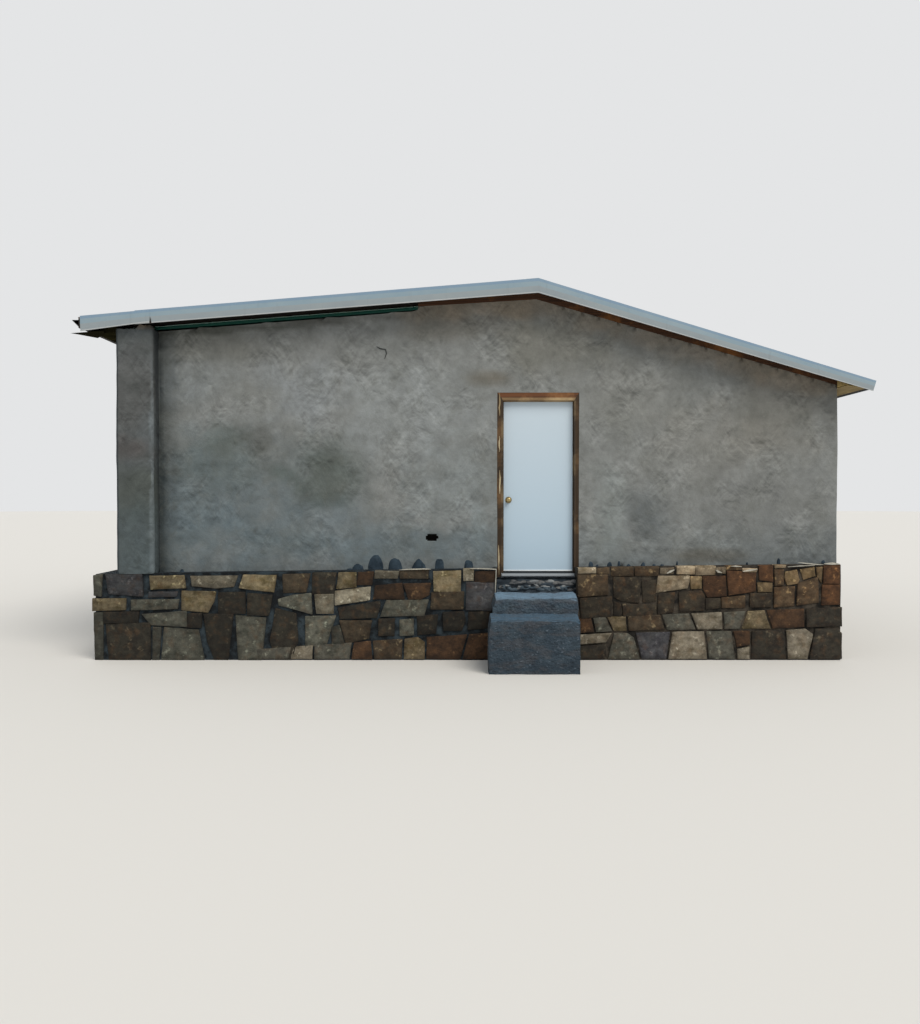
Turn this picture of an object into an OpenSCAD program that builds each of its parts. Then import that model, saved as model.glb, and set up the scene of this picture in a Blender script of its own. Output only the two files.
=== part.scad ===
// Adobe house: one room of thick adobe walls on a fieldstone plinth, under a low gable roof of
// sheet metal that is steeper on its right side. Millimetres, +Z up, the front faces -Y.
// The origin is on the ground, in the middle of the box that the roof and the steps fill.
// House coordinates: x from the middle of the front wall, y from its outer face going back,
// z from the lowest ground contact.

/* [Walls] */
// Width of the front wall, outside
wall_w = 8450; // [8300:10:8600]
// Length of the house, from the front wall's face to the rear wall's face
wall_d = 12200; // [11600:100:12800]
// Thickness of the adobe walls
wall_t = 360; // [340:5:380]
// Width of the pilaster at the left front corner
pilaster_w = 435; // [400:5:480]
// How far the pilaster stands out from the front wall
pilaster_out = 215; // [190:5:215]

/* [Plinth] */
// Height of the plinth at the left end of the front
plinth_left_h = 1004; // [990:1:1010]
// Height of the plinth at the right end of the front
plinth_right_h = 1113; // [1100:1:1120]
// Width of the stone ledge in front of the front wall
plinth_front_out = 215; // [200:5:230]
// Width of the ledge outside the left wall
plinth_left_out = 285; // [260:5:300]
// Width of the ledge outside the right wall
plinth_right_out = 0; // [0:5:40]
// Width of the ledge behind the rear wall
plinth_rear_out = 200; // [180:5:220]
// Height of the top of the floor above the ground
floor_h = 985; // [970:1:990]
// Thickness of the floor slab
floor_t = 100; // [80:5:120]
// Width of the inner ledge that carries the floor
floor_ledge = 100; // [80:5:120]

/* [Roof] */
// Distance of the ridge from the middle of the front wall, to the right
ridge_x = 665; // [650:5:700]
// Height of the top of the roof sheets at the ridge
ridge_h = 4406; // [4395:1:4425]
// Fall of the left slope for each unit of run
left_fall = 0.080; // [0.076:0.001:0.084]
// Fall of the right slope for each unit of run
right_fall = 0.3026; // [0.298:0.0002:0.308]
// How far the left eave stands out from the left wall
left_eave = 385; // [370:5:400]
// How far the right eave stands out from the right wall
right_eave = 290; // [280:5:300]
// How far the rake trims run on past the right eave
rake_past_right = 30; // [25:1:40]
// How far the roof stands out from the front and rear walls
rake_out = 300; // [290:5:310]
// Distance between rafters, centre to centre
rafter_pitch = 600; // [560:10:640]
// Distance between the ribs of the roof sheets
rib_pitch = 300; // [250:10:350]

/* [Door] */
// Distance of the middle of the door from the middle of the front wall, to the right
door_x = 694; // [680:1:710]
// Width of the door leaf
leaf_w = 832; // [826:1:838]
// Height of the door leaf
leaf_h = 2021; // [2000:1:2030]
// Thickness of the door leaf
leaf_t = 44; // [40:1:45]
// Height of the knob above the bottom of the leaf
knob_h = 850; // [840:1:1000]
// Distance of the knob from the free edge of the leaf
knob_inset = 64; // [60:1:70]

/* [Steps] */
// Height of the upper tread at its back edge
upper_tread_h = 783; // [770:1:790]
// Height of the lower tread at its back edge
lower_tread_h = 594; // [585:1:600]
// Distance of the upper tread's nose in front of the wall
upper_nose = 620; // [600:5:640]
// Distance of the lower tread's nose in front of the wall
lower_nose = 1070; // [1040:5:1090]
// Distance of the upper step's left side from the middle of the door
upper_step_left = 554; // [545:1:560]
// Distance of the upper step's right side from the middle of the door
upper_step_right = 392; // [385:1:400]
// Distance of the lower step's left side from the middle of the door
lower_step_left = 619; // [610:1:630]
// Distance of the lower step's right side from the middle of the door
lower_step_right = 360; // [350:1:370]
// Distance of the left side of the gap in the front plinth from the middle of the door
plinth_gap_left = 501; // [495:1:505]
// Distance of the right side of the gap in the front plinth from the middle of the door
plinth_gap_right = 431; // [425:1:435]
// Width worn off the left corner of each tread
worn_w = 28; // [20:1:35]
// Height worn off the left corner of each tread
worn_h = 120; // [80:5:140]

/* [Hidden] */
$fn = 48;

// Colours
stone_colour = "#7a6648";
adobe_colour = "#8a8982";
pilaster_colour = "#74746f";
concrete_colour = "#75828c";
timber_colour = "#7d5330";
board_colour = "#8a6a45";
green_colour = "#1f4a44";
sheet_colour = "#9aa3a6";
trim_colour = "#c9d0d2";
plywood_colour = "#a18655";
jamb_colour = "#b08d63";
door_colour = "#c9d5df";
brass_colour = "#b99a55";
steel_colour = "#8d8f90";
floor_colour = "#8f8d88";
soffit_colour = "#4a3522";
threshold_colour = "#d8dde0";

// Bedding gap where two sloping faces meet
bed = 0.2;

// Walls and plinth
half_w = wall_w / 2;
inner_x = half_w - wall_t;
rear_y = wall_d;
plinth_x0 = -half_w - plinth_left_out;
plinth_x1 = half_w + plinth_right_out;
ledge_h = floor_h - floor_t;
sill_course_h = 951;
sill_course_y = -105;

// Roof build-up, measured straight down from the line of the roof
rib_h = 18;
sheet_t = 2;
sheet_over = 15;
rib_foot = 30;
rib_crest = 12;
sheet_inset = 10;
sheet_margin = 120;
ridge_open = 25;
deck_top = rib_h + sheet_t;
deck_t = 22;
rafter_top = deck_top + deck_t + bed;
rafter_d = 89;
rafter_low = rafter_top + rafter_d;
rafter_t = 40;
rafter_margin = 300;
gable_plate_h = 57;
gable_plate_d = 90;
gable_recess = 45;
gable_left_drop = 186;
gable_plate_end_drop = 148;
gable_apex_drop = 174;
gable_right_drop = 108;
plate_end_x = -730;
barge_t = 38;
barge_behind = 10;
trim_t = 3;
trim_low_left = 156;
trim_low_ridge = 166;
trim_low_right = 126;
trim_flange = 70;
cap_wing = 140;
cap_lift = 1.5;
soffit_t = 12;
tail_low_right = 81;
fascia_t = 38;
pilaster_h = 3845;
beam_w = 140;
beam_d = 400;
beam_drop = 125;
beam_top_h = ridge_h - beam_drop;
beam_bearing = 200;
eave_x0 = -half_w - left_eave;
eave_x1 = half_w + right_eave;
rake_x1 = eave_x1 + rake_past_right;
drip_below_deck = 1;
drip_left_h = 120;
drip_right_h = 75;
gutter_out = 75;
gutter_drop = 32;
gutter_lip = 4;
gutter_foot = 108;
gutter_fold = 9;
gutter_t = 6;

// Door frame
buck_t = 38;
buck_left_t = 50;
buck_head_t = 58;
jamb_t = 19;
jamb_d = 117;
gap = 6;
stop_w = 12;
stop_t = 13;
stop_gap = 5;
jamb_half = leaf_w / 2 + gap;
jamb_x0 = door_x - jamb_half - jamb_t;
jamb_x1 = door_x + jamb_half + jamb_t;
buck_x0 = jamb_x0 - buck_left_t;
buck_x1 = jamb_x1 + buck_t;
threshold_top = 1003;
nosing_out = 25;
nosing_fall = 6;
nosing_t = 29;
nosing_gap = 9;
leaf_bottom = threshold_top + 12;
leaf_top = leaf_bottom + leaf_h;
jamb_under = leaf_top + gap;
jamb_head_t = 33;
jamb_top = jamb_under + jamb_head_t;
buck_top = jamb_top + buck_head_t;
leaf_back_y = jamb_d;
leaf_face_y = leaf_back_y - leaf_t;
gap_front_left = door_x - plinth_gap_left;
gap_front_right = door_x + plinth_gap_right;

// Hinges and knob
hinge_x = door_x + leaf_w / 2 + gap / 2;
hinge_y = leaf_back_y + 8;
knuckle_r = 6.5;
pin_r = 3.5;
pin_bore_r = 4.2;
hinge_l = 102;
hinge_leaf_w = 34;
hinge_leaf_t = 2.5;
knuckle_clear = 0.5;
hinge_heights = [200, leaf_h / 2, leaf_h - 200];
knob_x = door_x - leaf_w / 2 + knob_inset;
knob_z = leaf_bottom + knob_h;
spindle_r = 9;
spindle_bore_r = 11;
rose_r = 38;
rose_t = 6;

// Steps
upper_step_x0 = door_x - upper_step_left;
upper_step_x1 = door_x + upper_step_right;
lower_step_x0 = door_x - lower_step_left;
lower_step_x1 = door_x + lower_step_right;
tread_fall = 18;
nose_r = 45;

// Middle of the box that the whole house fills
box_x0 = eave_x0 - gutter_out;
box_x1 = rake_x1;
box_y0 = -lower_nose;
box_y1 = rear_y + rake_out + trim_t;

function roof_z(x) = ridge_h - (x < ridge_x ? left_fall : right_fall) * abs(x - ridge_x);
function plinth_z(x) = plinth_left_h
    + (plinth_right_h - plinth_left_h) * (x + half_w) / wall_w;

// Height of the foot of a wall that stands on the plinth
function foot_z(x) = plinth_z(x) + bed;

// Height of the top of the gable walls, which the timbers of the roof cover
function gable_z(x) =
    x < plate_end_x ? roof_z(x) - gable_left_drop
    : x <= ridge_x ? roof_z(x) - gable_plate_end_drop
        - (gable_apex_drop - gable_plate_end_drop) * (x - plate_end_x) / (ridge_x - plate_end_x)
    : roof_z(x) - gable_apex_drop
        + (gable_apex_drop - gable_right_drop) * (x - ridge_x) / (half_w - ridge_x);

// Depth of the lower edge of the rake trims under the line of the roof
function trim_low(x) =
    x < ridge_x ? trim_low_left
    : trim_low_ridge - (trim_low_ridge - trim_low_right) * (x - ridge_x) / (rake_x1 - ridge_x);

// Where the right end of a rake, cut square to its slope, lies at a depth under the roof line
function cut_x(low) = rake_x1 - low * right_fall / (1 + right_fall * right_fall);

// Moves house coordinates to the part's own origin
module place() {
    translate([-(box_x0 + box_x1) / 2, -(box_y0 + box_y1) / 2, 0]) children();
}

// Extrudes an outline drawn in x and z along y
module along_y(y0, y1) {
    translate([0, y1, 0]) rotate([90, 0, 0]) linear_extrude(y1 - y0) children();
}

// Extrudes an outline drawn in y and z along x
module along_x(x0, x1) {
    translate([x0, 0, 0]) rotate([90, 0, 90]) linear_extrude(x1 - x0) children();
}

module box(x0, x1, y0, y1, z0, z1) {
    translate([x0, y0, z0]) cube([x1 - x0, y1 - y0, z1 - z0]);
}

// A run of foundation between two x values, with its top on the plinth's line
module plinth_run(x0, x1, y0, y1) {
    along_y(y0, y1)
        polygon([[x0, 0], [x1, 0], [x1, plinth_z(x1)], [x0, plinth_z(x0)]]);
}

module plinth_front_left() {
    color(stone_colour) place() {
        plinth_run(plinth_x0, gap_front_left, -plinth_front_out, 0);
        plinth_run(plinth_x0, buck_x0, 0, wall_t);
        box(-inner_x + floor_ledge, buck_x0, wall_t, wall_t + floor_ledge,
            0, ledge_h);
    }
}

module plinth_front_right() {
    color(stone_colour) place() {
        plinth_run(gap_front_right, plinth_x1, -plinth_front_out, 0);
        plinth_run(buck_x1, plinth_x1, 0, wall_t);
        box(buck_x1, inner_x - floor_ledge, wall_t, wall_t + floor_ledge,
            0, ledge_h);
    }
}

module plinth_left() {
    color(stone_colour) place() {
        plinth_run(plinth_x0, -inner_x, wall_t, rear_y - wall_t);
        box(-inner_x, -inner_x + floor_ledge, wall_t, rear_y - wall_t, 0, ledge_h);
    }
}

module plinth_right() {
    color(stone_colour) place() {
        plinth_run(inner_x, plinth_x1, wall_t, rear_y - wall_t);
        box(inner_x - floor_ledge, inner_x, wall_t, rear_y - wall_t, 0, ledge_h);
    }
}

module plinth_rear() {
    color(stone_colour) place() {
        plinth_run(plinth_x0, plinth_x1, rear_y - wall_t, rear_y + plinth_rear_out);
        box(-inner_x + floor_ledge, inner_x - floor_ledge,
            rear_y - wall_t - floor_ledge, rear_y - wall_t, 0, ledge_h);
    }
}

// Rubble and mortar under the threshold, set back between the two halves of the plinth
module sill_course() {
    color(concrete_colour) place() {
        box(gap_front_left, gap_front_right, sill_course_y, 0, 0, sill_course_h);
        box(buck_x0, buck_x1, 0, wall_t, 0, sill_course_h);
        box(buck_x0, buck_x1, wall_t, wall_t + floor_ledge,
            0, ledge_h);
    }
}

// Outline of a step: a block with a tread that falls a little and a worn round nose
module step_outline(y_nose, y_back, h_back) {
    h_nose = h_back - tread_fall;
    difference() {
        polygon([[y_nose, 0], [y_back, 0], [y_back, h_back], [y_nose, h_nose]]);
        translate([y_nose, h_nose - nose_r]) square([nose_r, nose_r * 2]);
    }
    translate([y_nose + nose_r, h_nose - nose_r]) circle(nose_r);
}

// A step, with the left corner of its tread worn down to a slope
module step_block(x0, x1, y_nose, y_back, h_back) {
    intersection() {
        along_x(x0, x1) step_outline(y_nose, y_back, h_back);
        along_y(y_nose, y_back) polygon([[x0, 0], [x1, 0], [x1, h_back],
            [x0 + worn_w, h_back], [x0, h_back - worn_h]]);
    }
}

module upper_step() {
    color(concrete_colour) place() {
        step_block(upper_step_x0, upper_step_x1, -upper_nose, -plinth_front_out,
            upper_tread_h);
        box(gap_front_left, upper_step_x1, -plinth_front_out, sill_course_y,
            0, upper_tread_h);
    }
}

module lower_step() {
    color(concrete_colour) place()
        step_block(lower_step_x0, lower_step_x1, -lower_nose, -upper_nose, lower_tread_h);
}

module floor_slab() {
    color(floor_colour) place()
        box(-inner_x, inner_x, wall_t, rear_y - wall_t, ledge_h, floor_h);
}

module front_wall_left() {
    x0 = -half_w;
    x1 = buck_x0;
    color(adobe_colour) place() along_y(0, wall_t)
        polygon([[x0, foot_z(x0)], [x1, foot_z(x1)], [x1, gable_z(x1)],
            [plate_end_x, gable_z(plate_end_x)],
            [plate_end_x, roof_z(plate_end_x) - gable_left_drop], [x0, gable_z(x0)]]);
}

module front_wall_right() {
    x0 = buck_x1;
    x1 = half_w;
    color(adobe_colour) place() along_y(0, wall_t)
        polygon([[x0, foot_z(x0)], [x1, foot_z(x1)], [x1, gable_z(x1)],
            [x0, gable_z(x0)]]);
}

// Pocket for an end of the ridge beam
module beam_pocket(y0, y1) {
    box(ridge_x - beam_w / 2, ridge_x + beam_w / 2, y0, y1, beam_top_h - beam_d, ridge_h);
}

module front_wall_over_door() {
    x0 = buck_x0;
    x1 = buck_x1;
    color(adobe_colour) place() difference() {
        along_y(0, wall_t)
            polygon([[x0, buck_top], [x1, buck_top], [x1, gable_z(x1)],
                [ridge_x, gable_z(ridge_x)], [x0, gable_z(x0)]]);
        beam_pocket(wall_t - beam_bearing, wall_t + 1);
    }
}

module left_wall() {
    x0 = -half_w;
    x1 = -inner_x;
    top = roof_z(x0) - rafter_low;
    color(adobe_colour) place() along_y(wall_t, rear_y - wall_t)
        polygon([[x0, foot_z(x0)], [x1, foot_z(x1)], [x1, top], [x0, top]]);
}

module right_wall() {
    x0 = inner_x;
    x1 = half_w;
    top = roof_z(x1) - gable_right_drop;
    color(adobe_colour) place() along_y(wall_t, rear_y - wall_t)
        polygon([[x0, foot_z(x0)], [x1, foot_z(x1)], [x1, top], [x0, top]]);
}

module rear_wall() {
    color(adobe_colour) place() difference() {
        along_y(rear_y - wall_t, rear_y)
            polygon([[-half_w, foot_z(-half_w)], [half_w, foot_z(half_w)],
                [half_w, gable_z(half_w)], [ridge_x, gable_z(ridge_x)],
                [plate_end_x, gable_z(plate_end_x)],
                [plate_end_x, roof_z(plate_end_x) - gable_left_drop],
                [-half_w, gable_z(-half_w)]]);
        beam_pocket(rear_y - wall_t - 1, rear_y - wall_t + beam_bearing);
    }
}

module corner_pilaster() {
    x0 = -half_w;
    x1 = -half_w + pilaster_w;
    color(pilaster_colour) place() along_y(-pilaster_out, 0)
        polygon([[x0, foot_z(x0)], [x1, foot_z(x1)], [x1, pilaster_h], [x0, pilaster_h]]);
}

module ridge_beam() {
    color(timber_colour) place()
        box(ridge_x - beam_w / 2, ridge_x + beam_w / 2, wall_t - beam_bearing,
            rear_y - wall_t + beam_bearing, beam_top_h - beam_d, beam_top_h);
}

// Outline of a rafter from one x value to another, on one side of the ridge
module rafter_outline(x0, x1) {
    polygon([[x0, roof_z(x0) - rafter_low], [x1, roof_z(x1) - rafter_low],
        [x1, roof_z(x1) - rafter_top], [x0, roof_z(x0) - rafter_top]]);
}

// Outline of the tail outside the right wall, which is cut thinner towards the eave
module tail_outline(x0, x1) {
    polygon([[x0, roof_z(x0) - rafter_low], [x1, roof_z(x1) - tail_low_right],
        [x1, roof_z(x1) - rafter_top], [x0, roof_z(x0) - rafter_top]]);
}

rafter_count = floor((wall_d - 2 * wall_t - rafter_margin) / rafter_pitch);
rafter_start = (wall_d - rafter_count * rafter_pitch) / 2;

module rafters_left() {
    color(timber_colour) place() for (i = [0 : rafter_count]) {
        y = rafter_start + i * rafter_pitch;
        difference() {
            along_y(y - rafter_t / 2, y + rafter_t / 2)
                rafter_outline(eave_x0 + fascia_t, ridge_x);
            box(ridge_x - beam_w / 2, ridge_x + 1, y - rafter_t, y + rafter_t,
                beam_top_h - beam_d, beam_top_h);
        }
    }
}

module rafters_right() {
    seat_h = roof_z(half_w) - gable_right_drop;
    color(timber_colour) place() for (i = [0 : rafter_count]) {
        y = rafter_start + i * rafter_pitch;
        difference() {
            along_y(y - rafter_t / 2, y + rafter_t / 2) {
                rafter_outline(ridge_x, half_w);
                tail_outline(half_w, eave_x1 - fascia_t);
            }
            box(ridge_x - 1, ridge_x + beam_w / 2, y - rafter_t, y + rafter_t,
                beam_top_h - beam_d, beam_top_h);
            box(inner_x, half_w, y - rafter_t, y + rafter_t, seat_h - beam_d, seat_h);
        }
    }
}

// Rafter on the left half of a gable wall, on top of the painted plate
module gable_rafter_left(y0) {
    along_y(y0, y0 + rafter_t)
        slope_layer(-half_w, plate_end_x, rafter_top, gable_left_drop - gable_plate_h - bed);
}

// Rafters from the end of the painted plate over the ridge to the right wall
module gable_rafter_right(y0) {
    along_y(y0, y0 + rafter_t) polygon([[plate_end_x, gable_z(plate_end_x) + bed],
        [ridge_x, gable_z(ridge_x) + bed], [half_w, gable_z(half_w) + bed],
        [half_w, roof_z(half_w) - rafter_top], [ridge_x, ridge_h - rafter_top],
        [plate_end_x, roof_z(plate_end_x) - rafter_top]]);
}

module gable_rafters() {
    color(timber_colour) place() {
        gable_rafter_left(gable_recess);
        gable_rafter_left(rear_y - gable_recess - rafter_t);
        gable_rafter_right(0);
        gable_rafter_right(rear_y - rafter_t);
    }
}

// Painted plates let in between the left half of each gable wall and its rafter
module gable_plates() {
    color(green_colour) place()
        for (y0 = [0, rear_y - gable_plate_d]) along_y(y0, y0 + gable_plate_d)
            polygon([[-half_w, gable_z(-half_w) + bed],
                [plate_end_x - 1, roof_z(plate_end_x) - gable_left_drop + bed],
                [plate_end_x - 1, roof_z(plate_end_x) - gable_left_drop + gable_plate_h],
                [-half_w, gable_z(-half_w) + gable_plate_h]]);
}

// Boards that close the ends of the rafters at both eaves and carry the eave trims
module eave_fascias() {
    color(timber_colour) place() {
        along_y(-rake_out + barge_t, rear_y + rake_out - barge_t)
            slope_layer(eave_x0, eave_x0 + fascia_t, rafter_top, rafter_low + soffit_t);
        along_y(-rake_out + barge_t, rear_y + rake_out - barge_t)
            slope_layer(eave_x1 - fascia_t, eave_x1, rafter_top, tail_low_right + soffit_t);
    }
}

// Outline of a layer that follows one slope, between two depths under the roof line
module slope_layer(x0, x1, top, low) {
    polygon([[x0, roof_z(x0) - low], [x1, roof_z(x1) - low], [x1, roof_z(x1) - top],
        [x0, roof_z(x0) - top]]);
}

module roof_deck_left() {
    color(board_colour) place() along_y(-rake_out, rear_y + rake_out)
        slope_layer(eave_x0, ridge_x, deck_top, deck_top + deck_t);
}

module roof_deck_right() {
    color(board_colour) place() along_y(-rake_out, rear_y + rake_out)
        slope_layer(ridge_x, eave_x1, deck_top, deck_top + deck_t);
}

// Cross-section of a roof sheet with its trapezoid ribs, in y and z, with the pan at z = 0
sheet_y0 = -rake_out + sheet_inset;
sheet_y1 = rear_y + rake_out - sheet_inset;
rib_count = floor((sheet_y1 - sheet_y0 - sheet_margin) / rib_pitch);
rib_start = (sheet_y0 + sheet_y1 - rib_count * rib_pitch) / 2;

module sheet_outline() {
    line = [for (i = [0 : rib_count], p = [[-rib_foot, 0], [-rib_crest, rib_h - sheet_t],
        [rib_crest, rib_h - sheet_t], [rib_foot, 0]]) [rib_start + i * rib_pitch + p[0], p[1]]];
    whole = concat([[sheet_y0, 0]], line, [[sheet_y1, 0]]);
    n = len(whole);
    polygon(concat([for (p = whole) [p[0], p[1] + sheet_t]],
        [for (i = [0 : n - 1]) whole[n - 1 - i]]));
}

module roof_sheet_left() {
    a = atan(left_fall);
    run = (ridge_x - eave_x0 + sheet_over) / cos(a);
    color(sheet_colour) place() translate([ridge_x, 0, ridge_h - deck_top + bed])
        rotate([0, -a, 0]) along_x(-run, -ridge_open) sheet_outline();
}

module roof_sheet_right() {
    a = atan(right_fall);
    run = (eave_x1 + sheet_over - ridge_x) / cos(a);
    color(sheet_colour) place() translate([ridge_x, 0, ridge_h - deck_top + bed])
        rotate([0, a, 0]) along_x(ridge_open, run) sheet_outline();
}

module ridge_cap() {
    xl = ridge_x - cap_wing;
    xr = ridge_x + cap_wing;
    color(trim_colour) place() {
        along_y(-rake_out - trim_t, rear_y + rake_out + trim_t)
            polygon([[xl, roof_z(xl) + cap_lift], [ridge_x, ridge_h + cap_lift],
                [xr, roof_z(xr) + cap_lift], [xr, roof_z(xr) + cap_lift + trim_t],
                [ridge_x, ridge_h + cap_lift + trim_t], [xl, roof_z(xl) + cap_lift + trim_t]]);
        for (y = [-rake_out - trim_t, rear_y + rake_out]) along_y(y, y + trim_t)
            polygon([[xl + bed, roof_z(xl) - trim_low_left],
                [ridge_x, ridge_h - trim_low_ridge], [xr - bed, roof_z(xr) - trim_low(xr)],
                [xr - bed, roof_z(xr) + cap_lift + 1], [ridge_x, ridge_h + cap_lift + 1],
                [xl + bed, roof_z(xl) + cap_lift + 1]]);
    }
}

// Barge boards behind the rake trim, one each side, joined at the ridge
module barge_board(y0, y1) {
    low_right = trim_low_right - barge_behind;
    xr = cut_x(low_right) - barge_behind;
    xt = cut_x(rafter_top) - barge_behind;
    along_y(y0, y1) polygon([[eave_x0, roof_z(eave_x0) - trim_low_left + barge_behind],
        [ridge_x, ridge_h - trim_low_left + barge_behind], [xr, roof_z(xr) - low_right],
        [xt, roof_z(xt) - rafter_top], [ridge_x, ridge_h - rafter_top],
        [eave_x0, roof_z(eave_x0) - rafter_top]]);
}

module barge_board_front() {
    color(timber_colour) place() barge_board(-rake_out, -rake_out + barge_t);
}

module barge_board_rear() {
    color(timber_colour) place()
        barge_board(rear_y + rake_out - barge_t, rear_y + rake_out);
}

// Outline of the face of a rake trim: its depth varies, and its right end is cut square
module rake_face(x0, x1) {
    xb = x1 < ridge_x ? x1 : cut_x(trim_low_right);
    polygon([[x0, roof_z(x0) - trim_low(x0)], [xb, roof_z(xb) - trim_low(x1)],
        [x1, roof_z(x1) + trim_t + bed], [x0, roof_z(x0) + trim_t + bed]]);
}

// Bent strip of sheet metal: a face over the barge board and a flange over the sheets' ribs
module rake_trim(x0, x1, y_face, y_in) {
    y_back = y_face + sign(y_in - y_face) * trim_t;
    along_y(min(y_face, y_back), max(y_face, y_back)) rake_face(x0, x1);
    along_y(min(y_face, y_in), max(y_face, y_in)) slope_layer(x0, x1, -trim_t - bed, -bed);
}

module rake_trim_front_left() {
    color(trim_colour) place() rake_trim(eave_x0, ridge_x - cap_wing,
        -rake_out - trim_t, -rake_out + trim_flange);
}

module rake_trim_front_right() {
    color(trim_colour) place() rake_trim(ridge_x + cap_wing, rake_x1,
        -rake_out - trim_t, -rake_out + trim_flange);
}

module rake_trim_rear_left() {
    color(trim_colour) place() rake_trim(eave_x0, ridge_x - cap_wing,
        rear_y + rake_out + trim_t, rear_y + rake_out - trim_flange);
}

module rake_trim_rear_right() {
    color(trim_colour) place() rake_trim(ridge_x + cap_wing, rake_x1,
        rear_y + rake_out + trim_t, rear_y + rake_out - trim_flange);
}

// Drip edge along the left eave, with a narrow folded gutter standing out from it
module eave_trim_left() {
    x = eave_x0 - trim_t;
    lip = eave_x0 - gutter_out;
    z = roof_z(x) - deck_top - drip_below_deck;
    z_lip = z - gutter_drop;
    z_foot = z - gutter_foot;
    color(trim_colour) place() along_y(-rake_out, rear_y + rake_out) difference() {
        polygon([[eave_x0, z - drip_left_h], [eave_x0, z], [x, z], [x, z_lip], [lip, z_lip],
            [lip, z_lip - gutter_lip], [x, z_foot], [x, z - drip_left_h]]);
        polygon([[x, z_lip - trim_t], [lip + gutter_fold, z_lip - trim_t],
            [x, z_foot + gutter_t]]);
    }
}

module eave_trim_right() {
    x = eave_x1 + trim_t;
    z = roof_z(x) - deck_top - drip_below_deck;
    color(trim_colour) place() along_y(-rake_out + barge_t, rear_y + rake_out - barge_t)
        polygon([[eave_x1, z - drip_right_h], [x, z - drip_right_h], [x, z], [eave_x1, z]]);
}

// Boards under the eaves, nailed to the undersides of the rafters
module soffit_left() {
    color(soffit_colour) place() along_y(-rake_out + barge_t, rear_y + rake_out - barge_t)
        slope_layer(eave_x0 + fascia_t, -half_w, rafter_low, rafter_low + soffit_t);
}

module soffit_right() {
    x0 = half_w;
    x1 = eave_x1 - fascia_t;
    color(plywood_colour) place() along_y(-rake_out + barge_t, rear_y + rake_out - barge_t)
        polygon([[x0, roof_z(x0) - rafter_low - bed], [x1, roof_z(x1) - tail_low_right - bed],
            [x1, roof_z(x1) - tail_low_right - soffit_t],
            [x0, roof_z(x0) - rafter_low - soffit_t]]);
}

// Rough frame that lines the opening through the whole thickness of the wall
module door_buck() {
    color(timber_colour) place() along_y(0, wall_t)
        polygon([[buck_x0, sill_course_h], [jamb_x0, sill_course_h], [jamb_x0, jamb_top],
            [jamb_x1, jamb_top], [jamb_x1, sill_course_h], [buck_x1, sill_course_h],
            [buck_x1, buck_top], [buck_x0, buck_top]]);
}

// Recess for one hinge leaf, cut from an edge at x going away from the gap
module hinge_seat(x0, x1) {
    for (h = hinge_heights)
        box(x0, x1, leaf_back_y - hinge_leaf_w, leaf_back_y + 1,
            leaf_bottom + h - hinge_l / 2, leaf_bottom + h + hinge_l / 2);
}

module door_jamb() {
    x0 = door_x - jamb_half;
    x1 = door_x + jamb_half;
    stop_y1 = leaf_face_y - stop_gap;
    color(jamb_colour) place() difference() {
        union() {
            along_y(0, jamb_d)
                polygon([[x0 - jamb_t, threshold_top], [x0, threshold_top],
                    [x0, jamb_under], [x1, jamb_under], [x1, threshold_top],
                    [x1 + jamb_t, threshold_top], [x1 + jamb_t, jamb_top],
                    [x0 - jamb_t, jamb_top]]);
            along_y(stop_y1 - stop_t, stop_y1)
                polygon([[x0 - 1, threshold_top], [x0 + stop_w, threshold_top],
                    [x0 + stop_w, jamb_under - stop_w], [x1 - stop_w, jamb_under - stop_w],
                    [x1 - stop_w, threshold_top], [x1 + 1, threshold_top],
                    [x1 + 1, jamb_under + 1], [x0 - 1, jamb_under + 1]]);
        }
        hinge_seat(x1 - 1, x1 + hinge_leaf_t);
    }
}

module threshold() {
    nosing_top = threshold_top - nosing_fall;
    color(threshold_colour) place() {
        box(jamb_x0, jamb_x1, 0, wall_t, sill_course_h, threshold_top);
        box(jamb_x0 + nosing_gap, gap_front_right - nosing_gap, -nosing_out, 0,
            nosing_top - nosing_t, nosing_top);
    }
}

// Knuckles of a hinge between two heights above its lower end
module knuckle(h0, h1) {
    translate([hinge_x, hinge_y, h0]) cylinder(r = knuckle_r, h = h1 - h0);
}

// One plate of a butt hinge, from its seat in a wooden edge out to the knuckle
module hinge_plate(x0, x1, h0, h1) {
    box(x0, x1, leaf_back_y - hinge_leaf_w, hinge_y - 2, h0, h1);
}

// Hinge plates on the jamb, each with two knuckles and the pin
module frame_hinges() {
    third = hinge_l / 3;
    x = door_x + jamb_half;
    color(steel_colour) place() for (h = hinge_heights)
        translate([0, 0, leaf_bottom + h - hinge_l / 2]) {
            box(x, x + hinge_leaf_t, leaf_back_y - hinge_leaf_w, leaf_back_y, 0, hinge_l);
            hinge_plate(x, x + hinge_leaf_t, 0, third);
            hinge_plate(x, x + hinge_leaf_t, hinge_l - third, hinge_l);
            knuckle(0, third);
            knuckle(hinge_l - third, hinge_l);
            translate([hinge_x, hinge_y, 1]) cylinder(r = pin_r, h = hinge_l - 2);
        }
}

// Hinge plates on the door's edge, each with the middle knuckle
module leaf_hinges() {
    third = hinge_l / 3;
    x = door_x + leaf_w / 2;
    color(steel_colour) place() for (h = hinge_heights)
        translate([0, 0, leaf_bottom + h - hinge_l / 2]) difference() {
            union() {
                box(x - hinge_leaf_t, x, leaf_back_y - hinge_leaf_w, leaf_back_y,
                    0, hinge_l);
                hinge_plate(x - hinge_leaf_t, x, third + knuckle_clear,
                    2 * third - knuckle_clear);
                knuckle(third + knuckle_clear, 2 * third - knuckle_clear);
            }
            translate([hinge_x, hinge_y, -1]) cylinder(r = pin_bore_r, h = hinge_l + 2);
        }
}

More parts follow.
